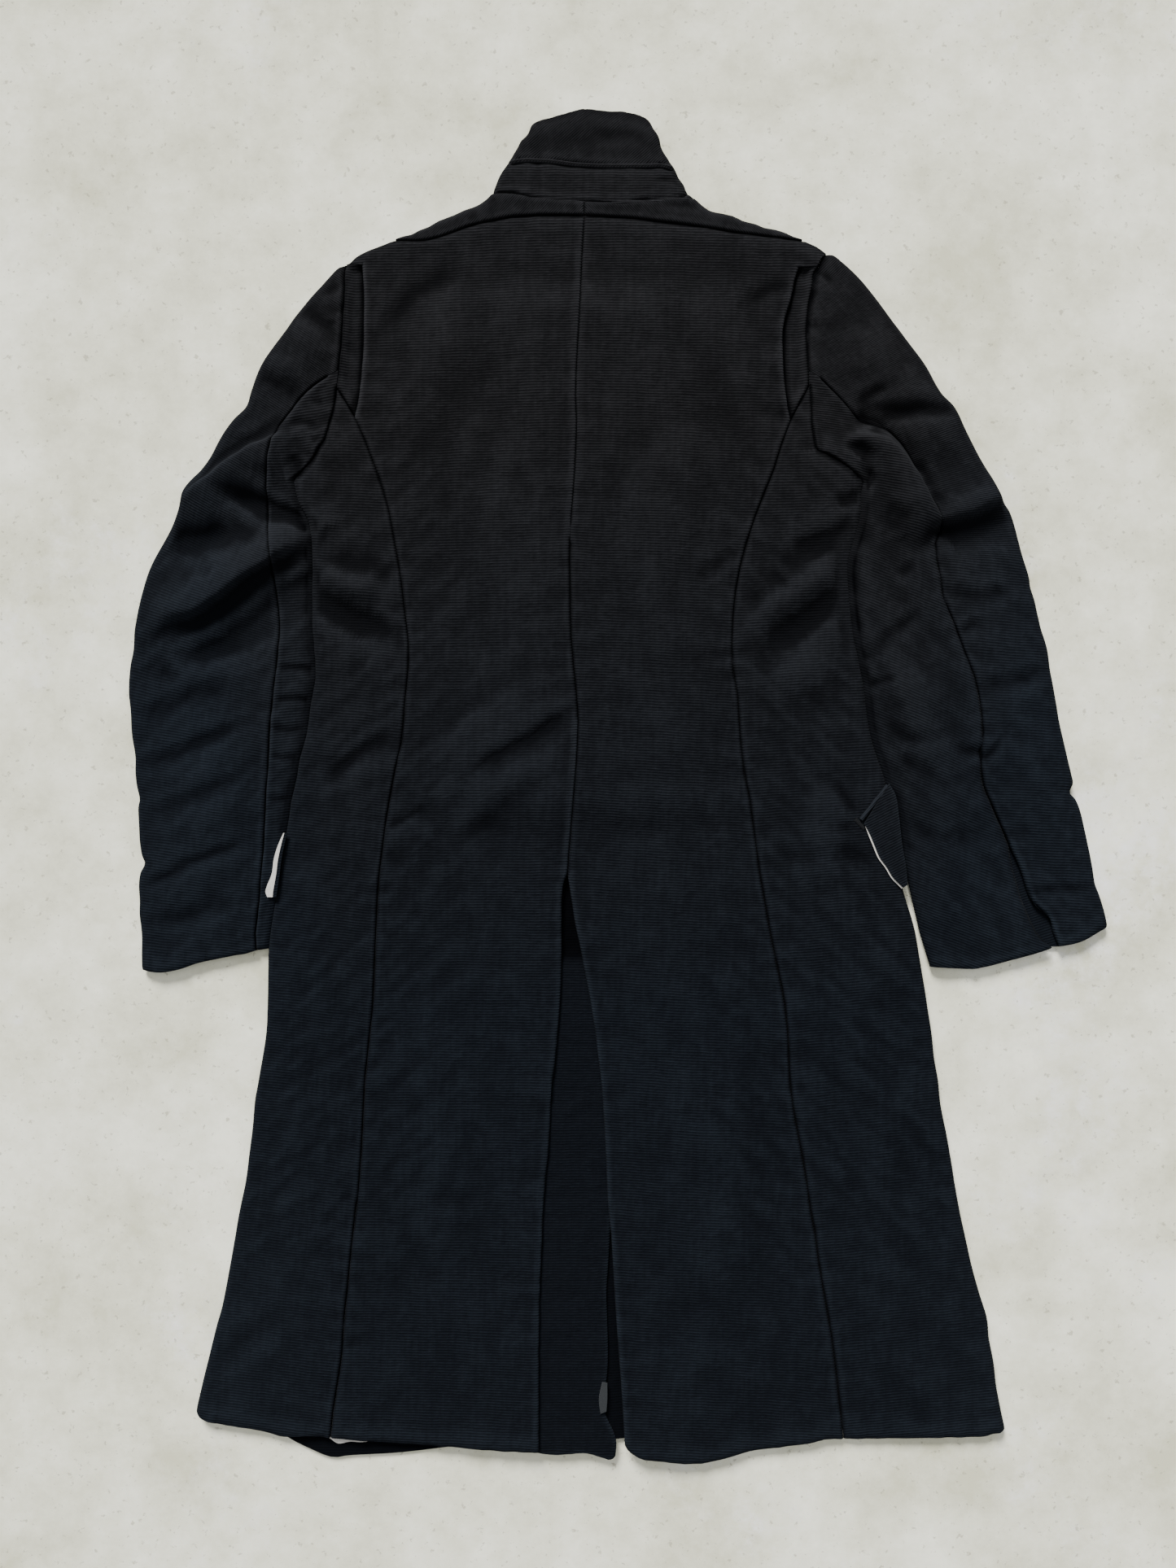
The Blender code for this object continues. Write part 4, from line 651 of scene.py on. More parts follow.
def ribbed_cotton():
    """Black ottoman cotton, washed after sewing: raised ribs broken by the crinkled threads, matt, with
    pale worn edges, rubbed crests, a soft nap, and painted shade, near black, in troughs, along seams and in
    recesses."""
    material, tree = new_material("garment-washed black ribbed cotton")
    weave = add(tree, "ShaderNodeUVMap", uv_map="cloth").outputs["UV"]
    object_place = add(tree, "ShaderNodeTexCoord").outputs["Object"]
    split = add(tree, "ShaderNodeSeparateXYZ", {"Vector": weave})
    wander = add(tree, "ShaderNodeTexNoise", {"Vector": weave, "Scale": 1 / 0.03,
                                              "Detail": 1.0}).outputs["Fac"]
    phase = maths(tree, "MULTIPLY", split.outputs["Y"], 2 * math.pi / (RIB * 0.001))
    wave = maths(tree, "SINE", maths(tree, "MULTIPLY_ADD", wander, 5.0, phase))
    rib = maths(tree, "MULTIPLY_ADD", wave, 0.5, 0.5)

    def stretched(wide, long, detail=2.0):
        """Noise whose patches are this wide along the ribs and this long across them, in millimetres."""
        scaled = add(tree, "ShaderNodeMapping", {"Vector": weave, "Scale": (1000 / wide, 1000 / long, 1.0)})
        return add(tree, "ShaderNodeTexNoise", {"Vector": scaled.outputs["Vector"], "Scale": 1.0,
                                                "Detail": detail}).outputs["Fac"]

    broken, streak, pebble = stretched(4.5, 2.2), stretched(4, 30), stretched(7, 5, 3.0)
    blotch = add(tree, "ShaderNodeTexNoise", {"Vector": object_place, "Scale": 1 / 0.07, "Detail": 3.0})
    rib_high = maths(tree, "MULTIPLY", rib, broken)

    worn = add(tree, "ShaderNodeAttribute", attribute_name="worn").outputs["Fac"]
    mottle = maths(tree, "ADD", streak, pebble)
    tone = maths(tree, "MULTIPLY_ADD", rib_high, 0.8, -0.44)
    tone = maths(tree, "MULTIPLY_ADD", mottle, 0.32, tone)
    tone = maths(tree, "MULTIPLY_ADD", blotch.outputs["Fac"], 0.25, tone)
    # Pale wear raises the tone; painted shade lowers it.
    tone = maths(tree, "MULTIPLY_ADD", worn, 0.8, tone, clamp=True)
    spot = add(tree, "ShaderNodeSeparateXYZ", {"Vector": object_place}).outputs
    hue = add(tree, "ShaderNodeMapRange", {"Value": spot["Y"], "From Min": 0.32, "From Max": -0.2}).outputs[0]
    aside = add(tree, "ShaderNodeMapRange", {"Value": maths(tree, "ABSOLUTE", spot["X"]), "From Min": 0.25,
                                             "From Max": 0.36}).outputs[0]
    hue = maths(tree, "MULTIPLY_ADD", aside, 0.5, hue, clamp=True)
    tone = maths(tree, "MULTIPLY_ADD", aside, 0.12, tone)
    colour = mixed(tree, tone, mixed(tree, hue, "#111112", "#0d0f13"), mixed(tree, hue, "#272729", "#1d2228"))
    # Painted shade: below -0.3 the attribute takes the colour towards near black.
    painted_shade = add(tree, "ShaderNodeMapRange", {"Value": worn, "From Min": -0.3, "From Max": -0.85,
                                            "To Max": 0.85})
    colour = mixed(tree, painted_shade.outputs[0], colour, "#030304")

    fine = add(tree, "ShaderNodeBump", {"Height": rib_high, "Distance": 0.0008, "Strength": 0.7})
    crinkle = add(tree, "ShaderNodeBump", {"Height": mottle, "Distance": 0.001, "Strength": 0.6,
                                           "Normal": fine.outputs["Normal"]})
    shader(tree, colour, 0.9, sheen=0.02, specular=0.0, normal=crinkle.outputs["Normal"], tint="#dfe4ea")
    return material


RIBBED_COTTON = ribbed_cotton()

# Counts of chords along the lines that the pieces share.
LONG = 12              # for each 50 mm of the coat's length
WIDE = 8
SIDE_ROWS, BACK_LOW_ROWS, PLEAT_ROWS = 20 * LONG, 11 * LONG, 3 * LONG
BACK_COLUMNS, YOKE_COLUMNS, SIDE_COLUMNS = 7 * WIDE, 5 * WIDE, 5 * WIDE
CROWD = 0.55

SEAM_LEFT, SEAM_RIGHT = curve(PRINCESS_LEFT, SIDE_ROWS), curve(PRINCESS_RIGHT, SIDE_ROWS)
FOLD_LEFT, FOLD_RIGHT = curve(PLEAT_FOLD_LEFT, PLEAT_ROWS), curve(PLEAT_FOLD_RIGHT, PLEAT_ROWS)
CENTRE = curve(CENTRE_SEAM, SIDE_ROWS + PLEAT_ROWS + LONG - BACK_LOW_ROWS)


def thin(points):
    """A line from its points, with few chords, to measure distances to."""
    return smooth_points(points, 2)


def back_panel(name, left, seam, fold, over_pleat, shoulder, yoke_seam, vent, hem, grain, replaces, ridge):
    corner = np.array(shoulder[0] if left else shoulder[-1], float)
    outer = join(seam, fold, along(np.array((fold[-1],) + tuple(over_pleat) + (corner,)), LONG))
    inner = join(curve(vent, BACK_LOW_ROWS), CENTRE)
    low = curve(hem, BACK_COLUMNS, CROWD)
    top = join(smooth_points(shoulder), smooth_points(yoke_seam)) if left else join(
        smooth_points(yoke_seam), smooth_points(shoulder))
    high = along(top, BACK_COLUMNS, CROWD)
    first, last = (outer, inner) if left else (inner, outer)
    net = coons(low, high, first, last, (0, SEAM, SEAM, SEAM))
    closed = CENTRE[(CENTRE[:, 1] > (60 if left else -80)) & (CENTRE[:, 1] < 232)]
    # The seams get painted shade beside them; the pleat fold, vent edges, hem and upper centre seam are worn
    # pale.
    edges = (Edge(seam[::6]), Edge(fold[::3], 0.4, 0.8, 1.6), Edge(CENTRE[CENTRE[:, 1] > 230][::6], *ridge),
             Edge(closed[::6]), Edge(thin(vent), 0.3, 0.35, 1.7),
             Edge(thin(yoke_seam), 0.2, -0.8, 2.6, 0.7, 2.6), Edge(thin(hem), 0.2, 0.4, 1.7))
    if left:
        edges += (Edge(CENTRE[CENTRE[:, 1] < 66][::6], 0.7, 1.0, 2.0, 0.3, 1.8),)
    return cloth(name, [upper(net, edges)], grain, RIBBED_COTTON, replaces)


back_left = back_panel("back_left_cloth", True, SEAM_LEFT, FOLD_LEFT, (), SHOULDER_LEFT, YOKE_SEAM_LEFT,
                       VENT_LEFT, HEM_LEFT_BACK, (-130, (-600, 0, 500), (-0.02, 0.0, 0.02)), ["back_left"],
                       (0.3, 0.6))
back_right = back_panel("back_right_cloth", False, SEAM_RIGHT, FOLD_RIGHT, ((175.8, 459.6), (179.4, 467)),
                        SHOULDER_RIGHT, YOKE_SEAM_RIGHT, VENT_RIGHT, HEM_RIGHT_BACK,
                        (60, (-600, 0, 500), (-0.06, -0.05, 0.0)), ["back_right"], (0.1, 0.0))


# The two side panels, sewn to the backs along curved seams. Each runs round the coat's outer edge and
# lies on the floor under it, where the front is sewn to it.
EDGE_LEFT = ((-373.5, -552.7), (-372.8, -549), (-367, -524), (-361.3, -501), (-355.6, -478), (-351, -462),
             (-346.4, -439), (-340.6, -407), (-336, -379), (-330.3, -352), (-326.9, -327), (-323.4, -299),
             (-321.6, -278), (-319.3, -265), (-316.8, -251), (-311.6, -218), (-310.5, -197),
             (-310.1, -176), (-309.4, -142), (-307, -122), (-303.3, -100), (-300, -77), (-297, -57),
             (-293.2, -37), (-289.8, -15), (-286, 2), (-281, 28), (-275.8, 46), (-273, 67), (-270.4, 84.5),
             (-268.1, 99), (-270.4, 134), (-271.5, 151), (-271.5, 169), (-270.8, 196), (-272, 218),
             (-273.7, 234), (-283.8, 253), (-288.2, 272))
EDGE_RIGHT = ((342.4, -568), (339, -552), (335, -531), (332.4, -509), (328.4, -488), (327, -471.6),
              (320.4, -450), (313.7, -426), (308.3, -402), (303, -378), (299, -356), (294.9, -330),
              (290.9, -308), (285.6, -281), (283.5, -260), (279.9, -239), (278, -220), (274.4, -197),
              (270.2, -170), (267.5, -154), (265.6, -142), (263.1, -128), (259.3, -114), (255.4, -102),
              (251.4, -88), (249, -77), (243.5, -37), (237, 2), (223.5, 46), (217.5, 90), (209.5, 134),
              (205.5, 169), (204.5, 196), (214.5, 234), (216.5, 253), (216.5, 272))
HEM_LEFT_SIDE = ((-373.5, -552.7), (-370.5, -557.3), (-362.5, -561.4), (-348.7, -564.2), (-325.7, -568),
                 (-309.7, -571.3), (-298, -574.5), (-275, -574), (-254, -575.5))
HEM_RIGHT_SIDE = ((342.4, -568), (339, -570.8), (332.4, -572), (325.7, -574), (315, -575), (288, -575.6),
                  (261.5, -576), (234.7, -576.6), (199.5, -577.2))
PIT_LEFT = ((-288.2, 272), (-279.3, 278.7), (-269.2, 289.8), (-263.6, 300.3), (-258.8, 306.4),
            (-254.9, 320.7), (-250.9, 336.6), (-249.3, 348), (-248.7, 352.6))
PIT_RIGHT = ((216.5, 272), (210.4, 275.8), (197.8, 285.3), (185.2, 292.7), (175.7, 297), (173.6, 305.3),
             (171.4, 320.7), (170.9, 336.6), (169.4, 354))
TIP_LEFT, TIP_RIGHT = (-248.5, 352.6), (169.0, 354.2)
UNDER_RUN = 30.0
UNDER_COLUMNS = 2 * WIDE
TURN_STEPS = 8


def inside_edge(edge, side, start, end):
    """Where the cloth starts to turn. side is 1 where the cloth lies to the left of the edge, or else -1."""
    line = moved(edge, side * EDGE_TURN)
    line[0], line[-1] = start, end
    return line


def turned(edge, tangent, edges=()):
    """Cloth that turns round an edge, from the top layer down to the floor."""
    x, y, top, worn = raised(tangent[:, 0], tangent[:, 1], edges)
    lean = np.column_stack((x, y)) - tangent
    full = settled(height(tangent[:, 0], tangent[:, 1]) + folds(tangent[:, 0], tangent[:, 1])[0])
    reach = np.linalg.norm(edge - tangent, axis=1)
    faces = []
    for gap in (0.0, CLOTH):
        rows = []
        for angle in np.linspace(0, math.pi, TURN_STEPS + 1):
            place = tangent + lean * (1 + math.cos(angle)) / 2
            place = place + (edge - tangent) * ((1 - gap / reach) * math.sin(angle))[:, None]
            start = top if gap == 0 else np.minimum(top - 0.9, full - CLOTH) + gap
            rows.append(np.column_stack((place, start / 2 + (start / 2 - gap) * math.cos(angle))))
        faces.append(np.array(rows))
    return faces[0], faces[1], np.tile(worn, (TURN_STEPS + 1, 1))


def net_between(left, low, high, edge_line, seam_line, gaps):
    """A net from an edge inwards to a seam. low and high run from the edge to the seam."""
    at_low, at_high, at_edge, at_seam = gaps
    if left:
        return coons(low, high, edge_line, seam_line, (at_low, at_high, at_edge, at_seam))
    return coons(low[::-1], high[::-1], seam_line, edge_line, (at_low, at_high, at_seam, at_edge))


Side = namedtuple("Side", "left edge tangent under pit hem seam")


def side_lines(left, edge, hem, pit, princess, tip):
    """Lines of one side of the coat. hem and pit run from the edge inwards."""
    seam = join(princess, np.linspace(princess[-1], tip, LONG + 1))
    edge = curve(edge, SIDE_ROWS + LONG)
    hem, pit = after(smooth_points(hem), EDGE_TURN), after(smooth_points(pit), EDGE_TURN)
    sign = -1 if left else 1
    tangent = inside_edge(edge, sign, hem[0], pit[0])
    under = moved(tangent, sign * UNDER_RUN)
    shares = lengths(pit) / lengths(pit)[-1]
    cut = shares < 0.4
    last = [[np.interp(0.4, shares, pit[:, k]) for k in (0, 1)]]
    pit_under = along(np.vstack((pit[cut], last)), UNDER_COLUMNS)
    under[0] = tangent[0] + (hem[-1] - hem[0]) / np.linalg.norm(hem[-1] - hem[0]) * 25
    under[-1] = pit_under[-1]
    return Side(left, edge, tangent, under, pit, hem, seam), pit_under


def side_panel(name, side, pit_under, grain, replaces):
    low, high = along(side.hem, SIDE_COLUMNS, CROWD), along(side.pit, SIDE_COLUMNS, CROWD)
    net = net_between(side.left, low, high, side.tangent, side.seam, (0, SEAM, 0, SEAM))
    tangent = net[0] if side.left else net[-1]
    edge = side.edge.copy()
    edge[-1] += tangent[-1] - side.tangent[-1]
    low = np.linspace(side.tangent[0], side.under[0], UNDER_COLUMNS + 1)
    under = net_between(side.left, low, pit_under, side.tangent, side.under, (0, SEAM, 0, SEAM))
    # The seams get painted shade beside them; the hem is worn pale.
    edges = (Edge(side.seam[::6]), Edge(side.pit[::2]), Edge(side.hem[::2], 0.2, 0.4, 1.7))
    return cloth(name, [upper(net, edges), turned(edge, tangent, edges), on_floor(under)], grain,
                 RIBBED_COTTON, replaces)


LEFT, PIT_UNDER_LEFT = side_lines(True, EDGE_LEFT, HEM_LEFT_SIDE, PIT_LEFT, SEAM_LEFT, TIP_LEFT)
RIGHT, PIT_UNDER_RIGHT = side_lines(False, EDGE_RIGHT, HEM_RIGHT_SIDE, PIT_RIGHT, SEAM_RIGHT, TIP_RIGHT)
side_left = side_panel("side_left_cloth", LEFT, PIT_UNDER_LEFT, (-290, (-600, 0, 300), (-0.12, -0.1, -0.02)),
                       ["side_left"])
side_right = side_panel("side_right_cloth", RIGHT, PIT_UNDER_RIGHT, (220, (-600, 0, 300), (0.1, 0.05, 0.02)),
                        ["side_right"])


# Action pleats behind the shoulders: the back's own cloth is folded back on itself, and the layer under
# the fold runs on to the armhole seam.
ARM_HEAD_LEFT = ((-240.5, 461.5), (-241.6, 456), (-241.6, 440), (-243.2, 416), (-244.5, 392), (-247, 368))
ARM_HEAD_RIGHT = ((184.2, 471), (180.2, 467.4), (177, 460.2), (173, 453), (171.4, 440), (168.2, 424),
                  (166.6, 408), (166.6, 395.6), (167, 383), (168.4, 366))
PLEAT_HIDDEN = 12.0


def pleat_underlay(name, left, head, tip, fold, grain, replaces):
    tip = np.array(tip, float)
    head = smooth_points(head)[::-1]
    armhole = along(np.vstack((tip, head)), 40)
    head = head[::-1]
    hidden = along(fold + (PLEAT_HIDDEN if left else -PLEAT_HIDDEN, 0), 40)
    low = along(np.vstack((armhole[0], fold[0], hidden[0])), 19)
    high = np.linspace(armhole[-1], hidden[-1], 20)
    net = net_between(left, low, high, armhole, hidden, (SEAM, SEAM + 0.2, SEAM, 0))

    def from_line(line):
        return nearest_on(line, net[..., 0], net[..., 1])[0]

    seam_low, seam_high = np.array((tip, fold[0])), np.array((head[0], fold[-1]))
    sewn = smooth_step(from_line(armhole) / 9) * smooth_step(from_line(seam_low) / 12) * smooth_step(
        from_line(seam_high) / 7)
    covered = smooth_step((from_line(hidden) - PLEAT_HIDDEN - 2) / 5)
    sink = (CLOTH + LAYER + 0.5) * np.maximum(sewn, (1 - covered) * smooth_step(from_line(seam_high) / 3))
    # Beside the fold the underlay gets painted shade, as do the cloth beside its seams.
    edges = (Edge(armhole), Edge(seam_low), Edge(fold[::3], 0.0, -1.0, 1.5, 0.3, 5.0))
    return cloth(name, [upper(net, edges, sink)], grain, RIBBED_COTTON, replaces)


pleat_left = pleat_underlay("pleat_left_cloth", True, ARM_HEAD_LEFT, TIP_LEFT, FOLD_LEFT,
                            (-230, (0, 500), (0.03, 0.03)), ["pleat_left"])
pleat_right = pleat_underlay("pleat_right_cloth", False, ARM_HEAD_RIGHT, TIP_RIGHT, FOLD_RIGHT,
                             (150, (0, 500), (0.0, 0.0)), ["pleat_right"])


# The yokes, cut on the bias and sewn to the backs, come over the shoulders to the coat's upper outline.
STAND_SEAM_LEFT = ((-111, 524), (-105.5, 523.3), (-93.3, 523.1), (-79.5, 520.2), (-61, 518.2), (-44.3, 516.2),
                   (-29.8, 515))
STAND_SEAM_RIGHT = ((-29.8, 515), (-15, 514.8), (7.8, 515.6), (30.7, 517.9), (46, 519), (67, 520))


def yoke(name, left, yoke_seam, outline, stand, grain, replaces, ridge):
    low = curve(yoke_seam, YOKE_COLUMNS * 2)
    parts = (smooth_points(outline), smooth_points(stand))
    high = along(join(*(parts if left else parts[::-1])), YOKE_COLUMNS * 2)
    net = coons(low, high, np.linspace(low[0], high[0], 17), np.linspace(low[-1], high[-1], 17),
                (SEAM, SEAM, SEAM, SEAM))
    middle = np.array((low[-1], high[-1]) if left else (low[0], high[0]))
    # The yoke and stand seams get painted shade beside them; the outline is worn pale.
    edges = (Edge(thin(yoke_seam), 0.2, -0.5), Edge(thin(stand), 0.2, -0.4), Edge(middle, *ridge),
             Edge(thin(outline), 0.0, 0.35, 0.5))
    return cloth(name, [upper(net, edges)], grain, RIBBED_COTTON, replaces)


yoke_left = yoke("yoke_left_cloth", True, YOKE_SEAM_LEFT, YOKE_OUTLINE_LEFT, STAND_SEAM_LEFT,
                 (-110, (0, 600), (1.1, 1.1)), ["yoke_left"], (0.7, 0.8))
yoke_right = yoke("yoke_right_cloth", False, YOKE_SEAM_RIGHT, YOKE_OUTLINE_RIGHT, STAND_SEAM_RIGHT,
                  (60, (0, 600), (-1.1, -1.1)), ["yoke_right"], (0.2, 0.2))


# The collar: a stand cut along the ribs and a fall cut on the bias, turned up and lying flat, so each
# is doubled round its two ends. A narrow raised strip is sewn over the seam between them.
STAND_EDGE_LEFT = ((-111, 524), (-107, 535), (-104.7, 540.4), (-97.5, 551.5))
STAND_EDGE_RIGHT = ((67, 520), (61, 525), (58.3, 532), (53.7, 538.9), (50.6, 546))
FALL_SEAM = ((-97.5, 551.5), (-85.6, 553.7), (-76, 553.9), (-56.5, 552.6), (-38, 550.4), (-15, 549.1),
             (23, 549.1), (38.4, 549.4), (46, 547.6), (50.6, 546))
FALL_EDGE_LEFT = ((-97.5, 551.5), (-88.7, 566.4), (-86.4, 571), (-80.7, 576.7), (-77, 585))
FALL_EDGE_RIGHT = ((50.6, 546), (40.7, 561), (38.4, 565.7), (36, 575.6), (31, 583))
COLLAR_TOP = ((-77, 585), (-69.5, 588.2), (-52, 593.2), (-41, 596.4), (-29, 598.7), (-9, 597), (7.8, 596),
              (17, 594), (25.4, 589.8), (31, 583))
COLLAR_COLUMNS, COLLAR_ROWS = 80, 20


def collar_band(name, low, high, left_edge, right_edge, gaps, grain, replaces, edges):
    def trimmed(points):
        return after(after(smooth_points(points), EDGE_TURN)[::-1], EDGE_TURN)[::-1]

    low_in, high_in = along(trimmed(low), COLLAR_COLUMNS, 0.4), along(trimmed(high), COLLAR_COLUMNS, 0.4)
    left_edge, right_edge = curve(left_edge, COLLAR_ROWS), curve(right_edge, COLLAR_ROWS)
    left_line = inside_edge(left_edge, -1, low_in[0], high_in[0])
    right_line = inside_edge(right_edge, 1, low_in[-1], high_in[-1])
    net = coons(low_in, high_in, left_line, right_line, gaps + (0, 0))
    middle = COLLAR_COLUMNS // 2
    stretches = [upper(net, edges)]
    for edge, first in ((left_edge, True), (right_edge, False)):
        tangent = net[0] if first else net[-1]
        edge = edge.copy()
        edge[0] += tangent[0] - (low_in[0] if first else low_in[-1])
        edge[-1] += tangent[-1] - (high_in[0] if first else high_in[-1])
        stretches.append(turned(edge, tangent, edges))
        half = net[:middle + 1].copy() if first else net[middle:].copy()
        half[-1 if first else 0, :, 0] += -SEAM if first else SEAM
        stretches.append(on_floor(half))
    return cloth(name, stretches, grain, RIBBED_COTTON, replaces)


STAND_SEAM = STAND_SEAM_LEFT + STAND_SEAM_RIGHT[1:]
collar_stand = collar_band("collar_stand_cloth", STAND_SEAM, FALL_SEAM, STAND_EDGE_LEFT, STAND_EDGE_RIGHT,
                           (SEAM, SEAM), (-25, (0, 600), (0.0, 0.0)), ["collar_stand"],
                           (Edge(thin(STAND_SEAM), 0.2, 0.2), Edge(thin(FALL_SEAM), 0.0, 0.2)))
collar_fall = collar_band("collar_fall_cloth", FALL_SEAM, COLLAR_TOP, FALL_EDGE_LEFT, FALL_EDGE_RIGHT,
                          (SEAM, 0), (-25, (0, 600), (0.9, 0.9)), ["collar_fall"],
                          (Edge(thin(FALL_SEAM), 0.3, 0.2), Edge(thin(COLLAR_TOP), 0.0, 0.3, 2.0)))

WELT_WIDTH = 3.6
welt_line = along(smooth_points(FALL_SEAM), 160)[2:-2]
welt_rows = np.array([moved(welt_line, -WELT_WIDTH * t + 0.2) for t in np.linspace(1, 0, 9)])
_, _, welt_z, _ = raised(welt_rows[..., 0], welt_rows[..., 1])
from_end = np.minimum(lengths(welt_line), lengths(welt_line)[-1] - lengths(welt_line)) + 1.85
welt_z *= 0.5 + 0.5 * np.sqrt(1 - np.clip(1 - from_end / EDGE_TURN, 0, 1) ** 2)
crown = 0.9 * np.sqrt(np.clip(1 - np.linspace(-1, 1, 9) ** 2, 0, 1))[:, None]
welt_outer = np.concatenate((welt_rows, (welt_z + 0.1 + crown + 0.15)[..., None]), axis=-1)
welt_inner = np.concatenate((welt_rows, (welt_z - 0.1)[..., None]), axis=-1)
welt_wear = np.tile(np.array([0.9, 0.8, 0.2, -0.3, -0.4, -0.2, 0.3, 0.8, 0.9])[:, None], (1, len(welt_line)))
collar_welt = cloth("collar_welt_strip", [(welt_outer, welt_inner, welt_wear)], (-25, (0, 600), (0.9, 0.9)),
                    RIBBED_COTTON, ["collar_welt"])


# The fronts lie face down on the floor under the rest of the coat, the right one over the left in the
# closure. Only their hems show. They are flat where they rest and rise over the buttons.
HEM_FRONT_LEFT = ((-339, -562), (-299, -574.5), (-286.7, -581.4), (-270.6, -589), (-259, -594),
                  (-251, -595.6), (-240.8, -594), (-222, -592.9), (-199.5, -591.7), (-176.5, -589.4),
                  (-149, -586), (-130.6, -584.2), (-70, -582), (-13, -581))
HEM_FRONT_RIGHT = ((306, -569.5), (199, -571), (90, -580), (20, -578), (-53, -579))
BAND_WIDTH, NECK_GAP = 70.0, 1.2


def y_on(line, x):
    order = np.argsort(line[:, 0])
    return np.interp(x, line[order, 0], line[order, 1])


def overlap_lift(x, y):
    """How high the front that lies over the other one stands in the closure."""
    return (button_lift(x, y) + CLOTH + 0.4) * smooth_step((CENTRE_FRONT + OVERLAP + 30 - x) / 30)


def front_panel(name, side, head, shoulder, outline, tip, hem, reach, lift, grain, replaces):
    sign = 1 if side.left else -1
    neck = smooth_points(STAND_SEAM) - (0, NECK_GAP)
    hem_line = smooth_points((tuple(side.under[0]),) + hem)
    across = np.linspace(reach - sign * BAND_WIDTH, reach, 24)
    high = np.column_stack((across, y_on(neck, across)))
    low = np.column_stack((across, y_on(hem_line, across)))
    net = coons(low, high, np.linspace(low[0], high[0], 130), np.linspace(low[-1], high[-1], 130))
    rise = lift(net[..., 0], net[..., 1])
    towards_arm = neck[sign * (neck[:, 0] - across[0]) < -1]
    neck_rest = towards_arm[::-1] if side.left else towards_arm
    top = join(smooth_points(shoulder), smooth_points(outline)) if side.left else join(
        smooth_points(outline), smooth_points(shoulder))
    down = top[::-1] if side.left else top
    pit = side.pit[lengths(side.pit) > 0.4 * lengths(side.pit)[-1] + 1]
    armhole = np.vstack((side.under[::8], pit, np.array(tip, float)[None], smooth_points(head)[::-1]))
    armhole = moved(armhole, -sign * SEAM * 1.6)[::-1]
    hem_rest = along(hem_line[sign * (hem_line[:, 0] - across[0]) < -3], 40)[1:]
    outline = np.vstack((net[0], neck_rest, down[2:-2], armhole, hem_rest))
    outer, inner, worn = flat_layer(net, rise + CLOTH, rise)
    rest = on_floor(outline)
    # Both stretches of the front get painted shade, as they lie under the rest of the coat.
    return cloth(name, [(outer, inner, worn - 0.6), (rest[0], rest[1], rest[2] - 0.6)], grain, RIBBED_COTTON,
                 replaces)


front_left = front_panel("front_left_cloth", LEFT, ARM_HEAD_LEFT, SHOULDER_LEFT, YOKE_OUTLINE_LEFT, TIP_LEFT,
                         HEM_FRONT_LEFT[1:], CENTRE_FRONT + OVERLAP, button_lift,
                         (-130, (-600, 500), (0.0, 0.0)), ["front_left"])
front_right = front_panel("front_right_cloth", RIGHT, ARM_HEAD_RIGHT, SHOULDER_RIGHT, YOKE_OUTLINE_RIGHT,
                          TIP_RIGHT, HEM_FRONT_RIGHT[1:], CENTRE_FRONT - OVERLAP, overlap_lift,
                          (60, (-600, 500), (0.0, 0.0)), ["front_right"])


# The sleeves, each of an under sleeve that wraps its inner edge and a top sleeve that wraps its outer one.
# They meet at the back seam on top and at the front seam on the floor, and bag in deep folds at the elbow.
OUTER_LEFT = ((-421.6, -162.1), (-421.8, -150), (-421.8, -130), (-423.6, -114), (-423.6, -102),
              (-424.3, -86), (-422.7, -76), (-418.9, -68), (-421.3, -61.6), (-423.4, -50), (-424.3, -34),
              (-424.8, -18), (-423.6, -11.6), (-426, 0), (-427.4, 14), (-427.4, 26.5), (-430.3, 44),
              (-431.5, 66), (-433.2, 85), (-431.7, 107), (-429.3, 119), (-427.3, 140.5), (-420.7, 171.4),
              (-413, 195.6), (-398.7, 222), (-387.7, 244), (-380, 266), (-362.3, 290.4), (-350, 312.4),
              (-340.2, 325.6), (-329.2, 336.6), (-324.9, 349.8), (-318.2, 367.5), (-305, 387.3),
              (-291.8, 405), (-278.6, 424.8), (-263.2, 442.4), (-247.7, 458.5), (-240.5, 461.5))
OUTER_RIGHT = ((433.5, -124), (430.2, -109), (425.7, -95), (422.1, -86), (419.5, -70), (415.9, -52),
               (412.3, -35.7), (408.8, -21.4), (404.3, -10.7), (399.5, -5.4), (402.5, 2.7), (400.8, 12),
               (397.3, 26.5), (393.4, 43.5), (390, 59), (386.4, 81), (382.5, 102), (379.7, 122),
               (374.3, 140), (368.6, 165), (365.2, 176), (364.1, 185), (357.9, 205), (354.6, 218),
               (347.9, 241.8), (340.2, 253), (331.4, 270.5), (320.4, 290.4), (307, 316.8), (297.2, 336.6),
               (285.1, 347.7), (271.8, 371.9), (256.5, 392.8), (241, 413.8), (227.8, 432.5),
               (212.4, 451.2), (197, 465.6), (190.5, 470.5), (184.2, 471))
BACK_SEAM_LEFT = ((-320, -145), (-320.4, -130), (-317.7, -109), (-315.5, -82), (-313.6, -61),
                  (-311.8, -25), (-310.5, 0), (-309, 20), (-307.4, 52), (-305, 78), (-301.6, 107),
                  (-299.4, 138), (-302, 170), (-307, 210), (-310, 260), (-300.6, 315.7), (-291.7, 327.8),
                  (-280.7, 343.2), (-265.3, 356.5), (-247, 368))
